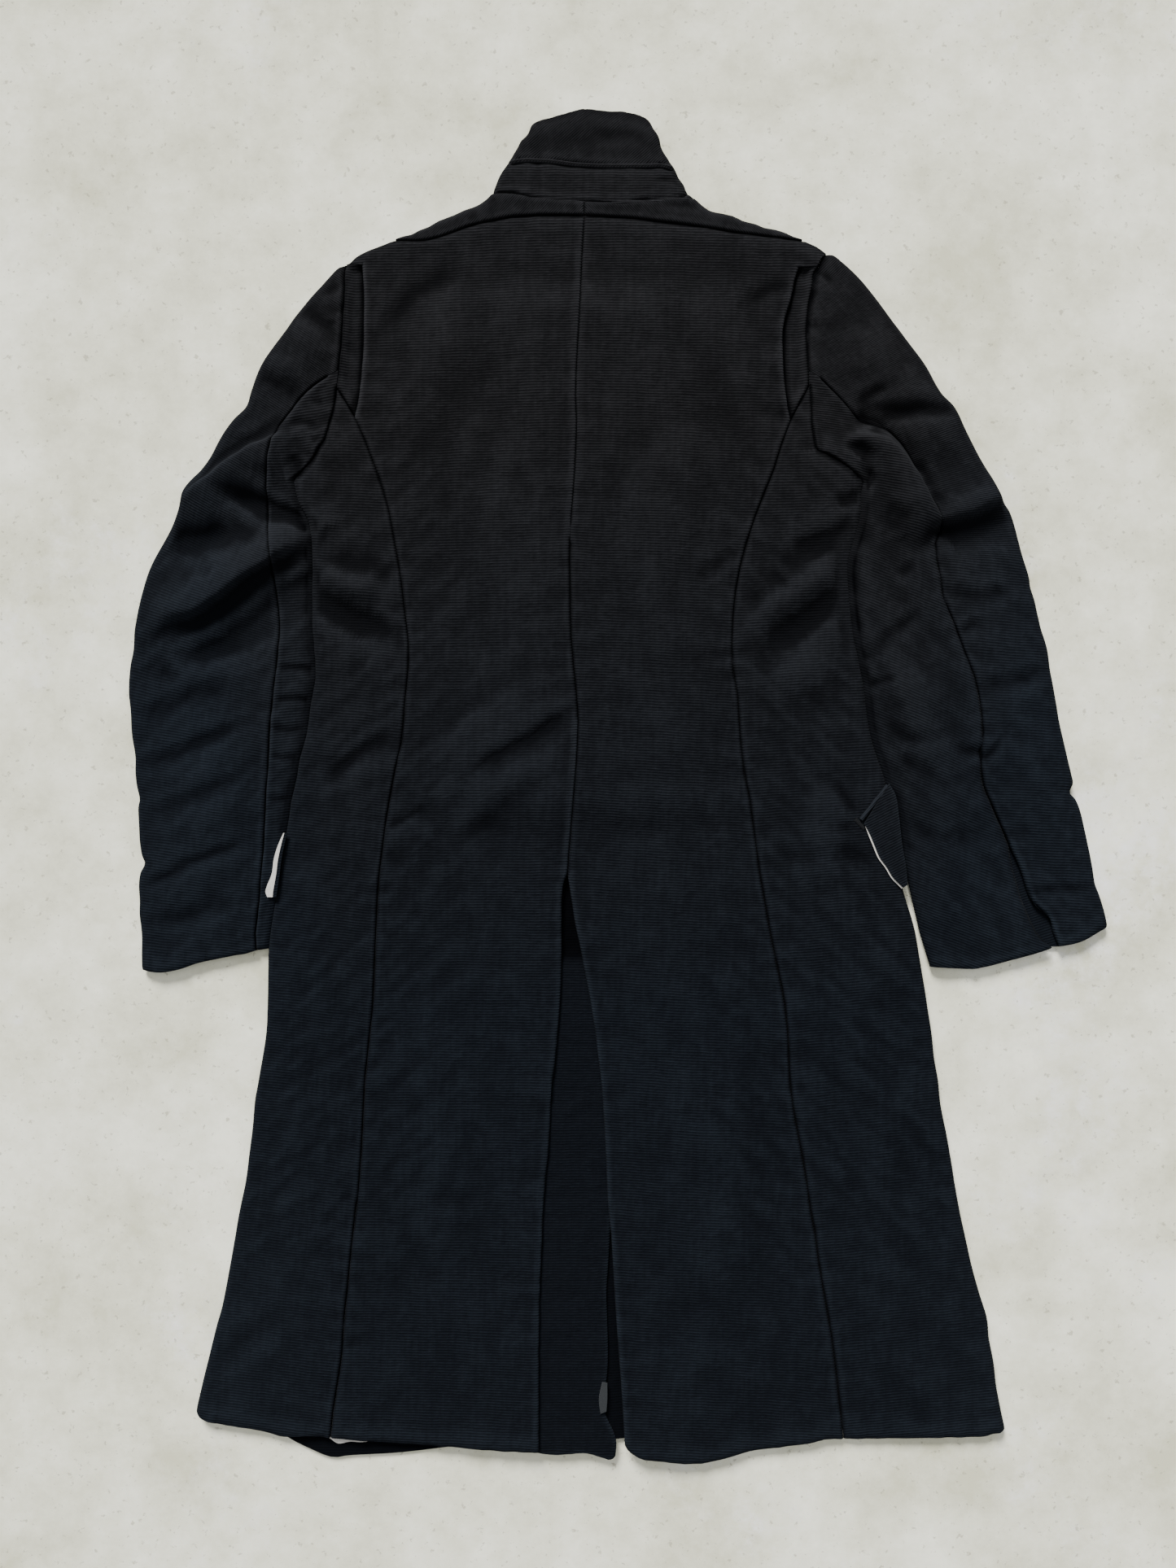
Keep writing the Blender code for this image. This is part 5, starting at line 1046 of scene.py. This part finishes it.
BACK_SEAM_RIGHT = ((345.4, -52), (338.2, -34), (331, -18), (324.5, -3), (321, 13), (319.5, 28.6),
                   (321.8, 41), (320.8, 65), (318.4, 82), (315, 96), (308.3, 113.5), (299.4, 138),
                   (292.7, 154), (287, 167), (284.9, 183), (281.5, 200), (280, 213), (284.5, 226),
                   (283, 242), (271, 263), (263, 283), (250, 304), (234, 318.5), (216, 323),
                   (205.7, 331.9), (199.3, 339.8), (191.3, 347.8), (183.4, 355.8), (173.8, 363.8),
                   (168.4, 366))
VENT_TOP_RIGHT = ((389.8, -141.4), (386, -132), (383.8, -125), (382, -118), (377.5, -112.5), (370.4, -107),
                  (365, -100), (360.5, -89), (356, -75), (350.7, -62.5), (345.4, -52))
VENT_UNDER_RIGHT = ((384.6, -142.5), (379.3, -139), (370.4, -129), (361.4, -111), (355.2, -93), (349, -71),
                    (345.4, -52))
CUFF_LEFT = ((-421.6, -162.1), (-413, -163.9), (-401.6, -164.3), (-386.4, -161.3), (-372, -156.3),
             (-359.6, -153.6), (-341.8, -150), (-329.3, -147.9), (-320, -145))
CUFF_INNER_LEFT = ((-309.9, -143.2), (-315, -144.4), (-320, -145))
CUFF_RIGHT = ((433.5, -124), (423.9, -129.5), (415, -134.5), (404.3, -138.8), (389.8, -141.4))
CUFF_INNER_RIGHT = ((276.2, -159.5), (297, -160.7), (313.2, -161.3), (325.7, -159.3), (336.4, -156.6),
                    (350.7, -152.7), (368.6, -147.9), (384.6, -142.5))
INNER_LOW_RIGHT = ((276.2, -159.5), (272.2, -146), (267, -129), (263.4, -114), (259, -95), (255.8, -80),
                   (253.4, -68), (250.7, -50), (247.4, -29), (242.6, -14), (236.8, -3), (234.4, 6))
FRONT_SEAM_LEFT = ((-340, -149), (-332, 0), (-322, 140), (-313, 235), (-295, 290))
FRONT_SEAM_RIGHT = ((300, -160.5), (285, -60), (262, 40), (238, 150), (238, 235), (222, 290))
BESIDE_BODY = -1.6
SLEEVE_ROWS = 190
ARM_ROWS = 30          # of them along the armhole
SLEEVE_UNDER_COLUMNS, SLEEVE_TOP_COLUMNS = 30, 44


def above(line, y):
    start = np.array((np.interp(y, line[:, 1], line[:, 0]), y))
    return np.vstack((start, line[line[:, 1] > y + 2]))


def sleeve(side, names, replaces, inner, outer, seam_top, seam_under, cuff_top, cuff_under, head, tip,
           front_seam, seam_edge, rolled, met, grains):
    """inner, outer and the seams run from the cuff up, cuff_top and cuff_under from an edge to the seam."""
    sign = 1 if side.left else -1
    middle = np.array((-247.0, 368.0) if side.left else (168.4, 366.0))
    pit = np.vstack((side.edge[-1], side.pit, np.array(tip, float)))
    pit = moved(pit, sign * SEAM * 1.4)
    inner = along(inner, SLEEVE_ROWS)
    inner_in = moved(inner, sign * EDGE_TURN)
    cuff_under = along(after(smooth_points(cuff_under), EDGE_TURN), SLEEVE_UNDER_COLUMNS, 0.3)
    pit_line = along(pit, ARM_ROWS + 4)[3:]
    inner_in[0], inner_in[-1] = cuff_under[0], pit_line[0]
    inside = np.vstack((inner_in, pit_line[1:]))
    seam_under, seam_top = along(seam_under, len(inside) - 1), along(seam_top, len(inside) - 1)
    across = np.linspace(pit_line[-1], seam_under[-1], SLEEVE_UNDER_COLUMNS + 1)
    # Painted shade darkens the cloth beside the seams and a wide band along the inner edge next to the body.
    edges = (Edge(seam_under[::6], *seam_edge), Edge(pit[::2]), Edge(cuff_under[::3], 0.2, 0.5, 1.6),
             Edge(inner[SLEEVE_ROWS // 4::6], 0.0, -0.9, 4.0, 0.3, 10.0)) + rolled
    net = net_between(not side.left, cuff_under, across, inside, seam_under, (0, SEAM, 0, SEAM))
    column_in = net[-1] if side.left else net[0]
    tangent = column_in[:SLEEVE_ROWS + 1]
    front = moved(front_seam, -sign * SEAM)[::-1]
    taken = SLEEVE_ROWS + 1 + ARM_ROWS // 3
    outline = np.vstack((column_in[:taken], front[1:]))
    under = cloth(names[0], [upper(net, edges), turned(inner, tangent, edges), on_floor(outline)], grains[0],
                  RIBBED_COTTON, replaces[:1])

    head = after(smooth_points(head), EDGE_TURN)
    cuff_top = along(after(smooth_points(cuff_top), EDGE_TURN), SLEEVE_TOP_COLUMNS, 0.3)
    outer = along(outer, len(seam_top) - 1)
    high = along(head, SLEEVE_TOP_COLUMNS, 0.3)
    edge_in = inside_edge(outer, -sign, cuff_top[0], high[0])
    # The back seam and arm head get painted shade beside them; the cuff is worn pale.
    edges = (Edge(seam_top[::6]), Edge(head[::2], 0.4, -0.8, 2.3, 1.2),
             Edge(cuff_top[::3], 0.2, 0.5, 1.6)) + met
    net = net_between(side.left, cuff_top, high, edge_in, seam_top, (0, SEAM, 0, SEAM))
    tangent = net[0] if side.left else net[-1]
    edge = outer.copy()
    edge[-1] += tangent[-1] - edge_in[-1]
    pit_share = pit_line[::-1][:-ARM_ROWS // 3 - 2]
    armhole = np.vstack((moved(head, -sign * SEAM)[3:], middle - (sign * SEAM, 0),
                         pit_share - (sign * SEAM, 0)))
    front = moved(front_seam, sign * SEAM)[::-1]
    outline = np.vstack((tangent, armhole, front))
    top = cloth(names[1], [upper(net, edges), turned(edge, tangent, edges), on_floor(outline)], grains[1],
                RIBBED_COTTON, replaces[1:])
    return under, top


# The right under sleeve rolls over its seam under the arm, and sinks beside the open cuff. Painted shade
# darkens the cloth beside the roll and beside the cuff's vent.
ROLL_RIGHT = thin(BACK_SEAM_RIGHT[17:24])
VENT_SIDE_RIGHT = thin(VENT_UNDER_RIGHT + BACK_SEAM_RIGHT[1:5])


def front_line(points, side):
    end = side.pit[len(side.pit) // 4]
    return curve(points + (tuple(end),), 60)


inner_left = moved(above(LEFT.edge, -143.2), BESIDE_BODY)
under_sleeve_left, top_sleeve_left = sleeve(
    LEFT, ("under_sleeve_left_cloth", "top_sleeve_left_cloth"), ("under_sleeve_left", "top_sleeve_left"),
    inner_left, smooth_points(OUTER_LEFT), smooth_points(BACK_SEAM_LEFT), smooth_points(BACK_SEAM_LEFT),
    CUFF_LEFT, CUFF_INNER_LEFT, ARM_HEAD_LEFT, TIP_LEFT, front_line(FRONT_SEAM_LEFT, LEFT), (0.3, 0.3),
    (), (),
    ((-290, (-150, 100, 200, 350), (0.1, 0.08, 0.0, 0.2)),
     (-370, (-150, 60, 160, 250, 450), (-0.1, -0.17, -0.34, -0.55, -0.8))))
inner_right = join(smooth_points(INNER_LOW_RIGHT), moved(above(RIGHT.edge, 12.0), -BESIDE_BODY))
seam_upper_right = smooth_points(BACK_SEAM_RIGHT)
under_sleeve_right, top_sleeve_right = sleeve(
    RIGHT, ("under_sleeve_right_cloth", "top_sleeve_right_cloth"), ("under_sleeve_right", "top_sleeve_right"),
    inner_right, smooth_points(OUTER_RIGHT), join(smooth_points(VENT_TOP_RIGHT), seam_upper_right),
    join(smooth_points(VENT_UNDER_RIGHT), seam_upper_right), CUFF_RIGHT, CUFF_INNER_RIGHT, ARM_HEAD_RIGHT,
    TIP_RIGHT, front_line(FRONT_SEAM_RIGHT, RIGHT), (0.05, -0.5),
    (Edge(ROLL_RIGHT, 0.0, -0.01, 5.0, 0.3, 12.0), Edge(VENT_SIDE_RIGHT, 0.0, -0.6, 2.6, 0.3, 9.0)),
    (Edge(ROLL_RIGHT, 0.0, -0.35, 8.0, 0.2, 14.0), Edge(thin(VENT_TOP_RIGHT), 0.8, 0.8, 1.5)),
    ((290, (-150, 60, 200, 350), (-0.35, -0.4, -0.4, -0.1)),
     (370, (-150, 60, 200, 260, 450), (-0.04, -0.06, -0.1, 0.3, 0.95))))


# Under the left back, the vent's underlay, with a sliver of its grey lining at its curled corner.
UNDERLAY_LEFT = ((-86, -585), (-84, -400), (-78, -200), (-66, 60))
UNDERLAY_RIGHT = ((-2.4, -592.5), (-1.6, -579), (-3.7, -571), (-10.4, -557), (-13.6, -545), (-10.4, -524),
                  (-9.1, -506), (-9.6, -474), (-10.4, -447), (-9.1, -426), (-6.4, -380), (-4, -340),
                  (-6, -200), (-18, 60))
UNDERLAY_HEM = ((-86, -585), (-69.8, -589.2), (-57, -590.6), (-44, -590), (-28, -589), (-17, -592),
                (-6.4, -595), (-2.4, -592.5))

UNDER_LAYER_SHADE = -0.3        # painted shade on cloth that lies under another layer
HOLLOW_PART = (-138, -60, 22)          # where the layer under the vent sinks and gets more painted shade, and how gradually it begins to


def under_layer(name, net, air, hollow, edges, grain, replaces):
    top = height(net[..., 0], net[..., 1]) + folds(net[..., 0], net[..., 1])[0] - CLOTH - air
    top = top - hollow * band(net[..., 1], *HOLLOW_PART)
    worn = np.zeros_like(top)
    for edge in edges:
        away, _ = nearest_on(edge.line, net[..., 0], net[..., 1])
        top = top - edge.roll * (1 - np.sqrt(1 - (1 - np.clip(away / 2.4, 0, 1)) ** 2))
        top = top + 0.25 * cloudy(net[..., 0] + 0.8 * net[..., 1], net[..., 1] - 0.8 * net[..., 0], 12, 7)
        worn = np.maximum(worn, edge.worn * np.exp(-(np.clip(away - 1, 0, None) / 2.2) ** 2))
    # Painted shade: the whole layer is darkened, the more where it sinks under the vent.
    worn = worn + UNDER_LAYER_SHADE - hollow * 0.5 * band(net[..., 1], *HOLLOW_PART)
    outer = np.concatenate((net, top[..., None]), axis=-1)
    below = np.minimum(top - 0.9, height(net[..., 0], net[..., 1]) - 2 * CLOTH - air)
    inner = np.concatenate((net, below[..., None]), axis=-1)
    return cloth(name, [(outer, inner, worn)], grain, RIBBED_COTTON, replaces)


underlay_net = coons(curve(UNDERLAY_HEM, 36), np.linspace(UNDERLAY_LEFT[-1], UNDERLAY_RIGHT[-1], 37),
                     curve(UNDERLAY_LEFT, 220), curve(UNDERLAY_RIGHT, 220))
underlay_edges = (Edge(thin(UNDERLAY_RIGHT), 0.2, 0.5, 1.4), Edge(thin(UNDERLAY_HEM), 0.2, 0.6, 1.4))
vent_underlay = under_layer("vent_underlay_cloth", underlay_net, VENT_LAYER, 2.2, underlay_edges,
                            (-45, (-600, 100), (0.0, 0.0)), ["vent_underlay"])


def plain_lining(name, pale, dark, thread):
    """Thin lining, woven plain and slightly shiny: fine crossed threads."""
    material, tree = new_material(name)
    weave = add(tree, "ShaderNodeUVMap", uv_map="cloth").outputs["UV"]
    split = add(tree, "ShaderNodeSeparateXYZ", {"Vector": weave})
    waves = [maths(tree, "SINE", maths(tree, "MULTIPLY", split.outputs[axis], 2 * math.pi / (thread * 0.001)))
             for axis in ("X", "Y")]
    crossed = maths(tree, "MULTIPLY", *waves)
    soft = add(tree, "ShaderNodeTexNoise", {"Vector": weave, "Scale": 1 / 0.012,
                                            "Detail": 3.0}).outputs["Fac"]
    colour = mixed(tree, maths(tree, "MULTIPLY_ADD", crossed, 0.12, soft, clamp=True), dark, pale)
    bump = add(tree, "ShaderNodeBump", {"Height": crossed, "Distance": 0.0002, "Strength": 0.4})
    shader(tree, colour, 0.55, sheen=0.1, normal=bump.outputs["Normal"])
    return material


PALE_LINING = plain_lining("pale cotton lining", "#d8d5ce", "#b4b0a8", 0.8)
GREY_LINING = plain_lining("grey lining", "#171c1f", "#101417", 0.8)
lining_net = coons(np.linspace((-15.6, -553), (-10.4, -551), 7), np.linspace((-14, -525), (-9.6, -526), 7),
                   curve(((-15.6, -553), (-17, -541), (-14, -525)), 12),
                   curve(((-10.4, -551), (-9.6, -540), (-9.6, -526)), 12))
lining_top = height(lining_net[..., 0], lining_net[..., 1]) - CLOTH - VENT_LAYER + 1.2
lining_top += folds(lining_net[..., 0], lining_net[..., 1])[0]
vent_lining = cloth("vent_lining_cloth", [flat_layer(lining_net, lining_top - 1.0, lining_top)],
                    (-12, (-600, 0), (0.0, 0.0)), GREY_LINING, ["vent_lining"])

# At the left side's hem a corner of the pale hem lining shows on the turned-up front hem.
HEM_LINING = ((-262, -573), (-260, -574.6), (-255.2, -578.2), (-248, -582.5), (-237.2, -580.9),
              (-227.2, -581.4), (-215, -579.4))
hem_low = smooth_points(HEM_LINING, 4)
hem_net = coons(hem_low, np.linspace((-264, -560), (-213, -562), len(hem_low)),
                np.linspace(hem_low[0], (-264, -560), 8), np.linspace(hem_low[-1], (-213, -562), 8))
hem_lining = cloth("hem_lining_cloth", [flat_layer(hem_net, CLOTH + 0.3, CLOTH + 1.3)],
                   (-240, (-600, 0), (0.1, 0.1)), PALE_LINING, ["hem_lining"])


# The open vent of the right cuff shows the facing inside it.
VENT_ROWS = 20
facing_under, facing_top = curve(VENT_UNDER_RIGHT, VENT_ROWS), curve(VENT_TOP_RIGHT, VENT_ROWS)
facing_low, facing_high = moved(facing_under, 8.0), moved(facing_top, -8.0)
facing_net = coons(np.linspace(facing_low[0], facing_high[0], 9),
                   np.linspace(facing_low[-1], facing_high[-1], 9), facing_low, facing_high)
facing_net[..., 1] = np.maximum(facing_net[..., 1], VENT_UNDER_RIGHT[0][1] + 0.5)
cuff_facing = under_layer("cuff_facing_cloth", facing_net, 3.0, 0.0, (), (370, (-200, 0), (0.3, 0.3)),
                          ["cuff_facing_right"])


# The right pocket: a narrow welt at its mouth, held by a bar of stitches, and a flap with a pale lining
# that hangs over the coat's edge. Of the left pocket only the flap's edge and its lining show.
FLAP_LEFT_EDGE = ((250.7, -89), (241.8, -80), (236.4, -71), (230.2, -62.5), (225.7, -52), (222, -43),
                  (216.5, -32.5))
FLAP_RIGHT_EDGE = ((254.8, -86), (253.4, -71), (249.8, -50), (247, -25), (245.2, -12), (243.5, -6),
                   (238.4, 2.6))
FLAP_COLUMNS, FLAP_ROWS = 14, 34


def flap_net(left_edge, right_edge, margin):
    left, right = moved(curve(left_edge, FLAP_ROWS), margin), curve(right_edge, FLAP_ROWS)
    return coons(np.linspace(left[0], right[0], FLAP_COLUMNS), np.linspace(left[-1], right[-1], FLAP_COLUMNS),
                 left, right)


def over_edge(net, low, high):
    """Height of what hangs over the coat's edge: that of the cloth at the edge's inner side."""
    x = np.clip(net[..., 0], low, high)
    return height(x, net[..., 1]) + folds(x, net[..., 1])[0] + 0.5


def hung(name, net, rise, thick, edges, grain, material, replaces):
    worn, top = np.zeros_like(rise), rise + thick
    for edge in edges:
        away, _ = nearest_on(edge.line, net[..., 0], net[..., 1])
        top = top - min(edge.roll, thick * 0.6) * (1 - np.sqrt(1 - (1 - np.clip(away / 2.0, 0, 1)) ** 2))
        worn = np.maximum(worn, edge.worn * np.exp(-(away / 2.2) ** 2))
    outer = np.concatenate((net, top[..., None]), axis=-1)
    inner = np.concatenate((net, rise[..., None]), axis=-1)
    return cloth(name, [(outer, inner, worn)], grain, material, replaces)


flap = flap_net(FLAP_LEFT_EDGE, FLAP_RIGHT_EDGE, 0.0)
pocket_flap_right = hung("pocket_flap_right_cloth", flap, over_edge(flap, -400, 236) + 1.6, 2.0,
                         (Edge(thin(FLAP_LEFT_EDGE), 0, 0.5), Edge(thin(FLAP_RIGHT_EDGE), 0, 0.4)),
                         (235, (-200, 100), (0.5, 0.5)), RIBBED_COTTON, ["pocket_flap_right"])
lining = flap_net(FLAP_LEFT_EDGE[:-1] + ((219, -35),), tuple((x - 2.5, y - 1.5) for x, y in FLAP_RIGHT_EDGE),
                  1.3)
pocket_flap_lining_right = hung("pocket_flap_lining_right_cloth", lining, over_edge(lining, -400, 236) + 0.3,
                                1.0, (), (235, (-200, 100), (0.5, 0.5)), PALE_LINING,
                                ["pocket_flap_lining_right"])
mouth = np.linspace((214.2, -29.4), (237.8, 0.6), 30)
welt_net = np.array([moved(mouth, side) for side in np.linspace(-1.8, 2.2, 9)])
welt_rise = over_edge(welt_net, -400, 236)
crown = np.sqrt(np.clip(1 - np.linspace(-1, 1, 9) ** 2, 0, 1))[:, None]
pocket_welt_right = cloth("pocket_welt_right_cloth", [(
    np.concatenate((welt_net, (welt_rise + 0.5 + 1.6 * crown)[..., None]), axis=-1),
    np.concatenate((welt_net, (welt_rise + 0.1)[..., None]), axis=-1),
    0.8 * np.tile(crown, (1, 30)))], (225, (-200, 100), (1.0, 1.0)), RIBBED_COTTON, ["pocket_welt_right"])

TONGUE_OUT = ((-309, -97.5), (-310.8, -93), (-309.2, -87), (-305.2, -77), (-303.4, -64), (-299.8, -52),
              (-295, -41))
TONGUE_IN = ((-303, -97.5), (-301.6, -88), (-300, -77), (-298.4, -64), (-296, -52), (-293.4, -41))
tongue_out, tongue_in = curve(TONGUE_OUT, 24), curve(TONGUE_IN, 24)
tongue = coons(np.linspace(tongue_out[0], tongue_in[0], 7), np.linspace(tongue_out[-1], tongue_in[-1], 7),
               tongue_out, tongue_in)
pocket_flap_lining_left = hung("pocket_flap_lining_left_cloth", tongue, over_edge(tongue, -800, -312) + 0.3,
                               1.0, (), (-300, (-200, 100), (0.2, 0.2)), PALE_LINING,
                               ["pocket_flap_lining_left"])
cover_out, cover_in = tongue_out + (tongue_in - tongue_out) * 0.85, tongue_in + (2.2, 0)
cover = coons(np.linspace(cover_out[0], cover_in[0], 7), np.linspace(cover_out[-1], cover_in[-1], 7),
              cover_out, cover_in)
pocket_flap_left = hung("pocket_flap_left_cloth", cover, over_edge(cover, -800, -312) + 1.6, 1.5, (),
                        (-300, (-200, 100), (0.2, 0.2)), RIBBED_COTTON, ["pocket_flap_left"])


# A bar of close stitches in black polyester thread holds the lower end of the right pocket's mouth.
def matt_thread():
    """Spun polyester thread, dyed black: matt."""
    material, tree = new_material("black spun polyester thread")
    place = add(tree, "ShaderNodeTexCoord").outputs["Object"]
    fluff = add(tree, "ShaderNodeTexNoise", {"Vector": place, "Scale": 1 / 0.0008, "Detail": 2.0})
    colour = mixed(tree, fluff.outputs["Fac"], "#08090b", "#15171a")
    shader(tree, colour, 0.7, sheen=0.04, specular=0.15)
    return material


def stitch_tree(material):
    """Small rounded stitches at an even spacing along a line, each turned by an angle from it."""
    tree = bpy.data.node_groups.new("row of stitches", "GeometryNodeTree")
    tree.interface.new_socket("Geometry", in_out="INPUT", socket_type="NodeSocketGeometry")
    for name in ("Spacing", "Length", "Thread", "Angle"):
        tree.interface.new_socket(name, in_out="INPUT", socket_type="NodeSocketFloat")
    tree.interface.new_socket("Geometry", in_out="OUTPUT", socket_type="NodeSocketGeometry")
    given = add(tree, "NodeGroupInput").outputs
    line = add(tree, "GeometryNodeMeshToCurve", {"Mesh": given["Geometry"]}).outputs["Curve"]
    points = add(tree, "GeometryNodeResampleCurve", {"Curve": line, "Length": given["Spacing"]},
                 mode="LENGTH")
    ahead = add(tree, "GeometryNodeInputTangent").outputs["Tangent"]
    ahead = add(tree, "ShaderNodeVectorRotate", {"Vector": ahead, "Angle": given["Angle"]},
                rotation_type="Z_AXIS")
    turn = add(tree, "FunctionNodeAlignRotationToVector", {"Vector": ahead.outputs[0]}, axis="X").outputs[0]
    bead = add(tree, "GeometryNodeMeshUVSphere", {"Segments": 8, "Rings": 5, "Radius": 0.5}).outputs["Mesh"]
    size = add(tree, "ShaderNodeCombineXYZ", {"X": given["Length"], "Y": given["Thread"],
                                                 "Z": given["Thread"]})
    stitch = add(tree, "GeometryNodeTransform", {"Geometry": bead, "Scale": size.outputs[0]}).outputs[0]
    placed = add(tree, "GeometryNodeInstanceOnPoints", {"Points": points.outputs[0], "Instance": stitch,
                                                        "Rotation": turn}).outputs[0]
    solid = add(tree, "GeometryNodeRealizeInstances", {"Geometry": placed}).outputs[0]
    painted = add(tree, "GeometryNodeSetMaterial", {"Geometry": solid, "Material": material}).outputs[0]
    add(tree, "NodeGroupOutput", {"Geometry": painted})
    return tree


STITCHES = stitch_tree(matt_thread())


def stitched(name, rows, spacing, length, thread, angle=0.0):
    """Rows of stitches along lines, sizes in millimetres."""
    data = bpy.data.meshes.new(name)
    starts = np.cumsum([0] + [len(row) for row in rows])
    data.from_pydata(np.vstack(rows) * 0.001, [(k, k + 1) for start, row in zip(starts, rows)
                                               for k in range(start, start + len(row) - 1)], [])
    thing = bpy.data.objects.new(name, data)
    bpy.context.scene.collection.objects.link(thing)
    modifier = thing.modifiers.new("stitches", "NODES")
    modifier.node_group = STITCHES
    sizes = {"Spacing": spacing * 0.001, "Length": length * 0.001, "Thread": thread * 0.001, "Angle": angle}
    for item in STITCHES.interface.items_tree:
        if item.name in sizes:
            modifier[item.identifier] = sizes[item.name]
    graph = bpy.context.evaluated_depsgraph_get()
    mesh = bpy.data.meshes.new_from_object(thing.evaluated_get(graph))
    thing.modifiers.clear()
    thing.data = mesh
    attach(thing, "root")
    return thing


TACK = np.array(((209.4, -29.2), (217.0, -37.0)))
TACK_WIDTH = 3.4
tack_line = along(TACK, 12)
tack_z = raised(tack_line[:, 0], tack_line[:, 1])[2] + 0.5
stitched("pocket_bar_tack", [np.column_stack((moved(tack_line, side), tack_z - 0.3))
                             for side in np.linspace(-TACK_WIDTH / 2, TACK_WIDTH / 2, 4)], 2.8, 3.4, 0.5)
stitched("pocket_bar_tack_cross", [np.column_stack((tack_line, tack_z))], 0.75, TACK_WIDTH, 0.6, math.pi / 2)


# Four-hole buttons of dark horn under the closure, turned and polished, faintly streaked.
def dark_horn():
    """Polished dark horn: brownish black with faint lighter streaks and a low gloss."""
    material, tree = new_material("polished dark horn")
    place = add(tree, "ShaderNodeTexCoord").outputs["Object"]
    scaled = add(tree, "ShaderNodeMapping", {"Vector": place, "Scale": (1 / 0.0015, 1 / 0.012, 1 / 0.003)})
    streaks = add(tree, "ShaderNodeTexNoise", {"Vector": scaled.outputs["Vector"], "Scale": 1.0,
                                               "Detail": 3.0})
    colour = mixed(tree, streaks.outputs["Fac"], "#17120f", "#3a2f27")
    bump = add(tree, "ShaderNodeBump", {"Height": streaks.outputs["Fac"], "Distance": 0.0001,
                                        "Strength": 0.2})
    shader(tree, colour, 0.3, normal=bump.outputs["Normal"])
    return material


HORN = dark_horn()
for number in range(BUTTON_COUNT):
    node = frame["nodes"][f"button_{number + 1}"]
    thing = node if isinstance(node, bpy.types.Object) else bpy.data.objects[f"button_{number + 1}"]
    for slot in thing.material_slots:
        slot.material = HORN
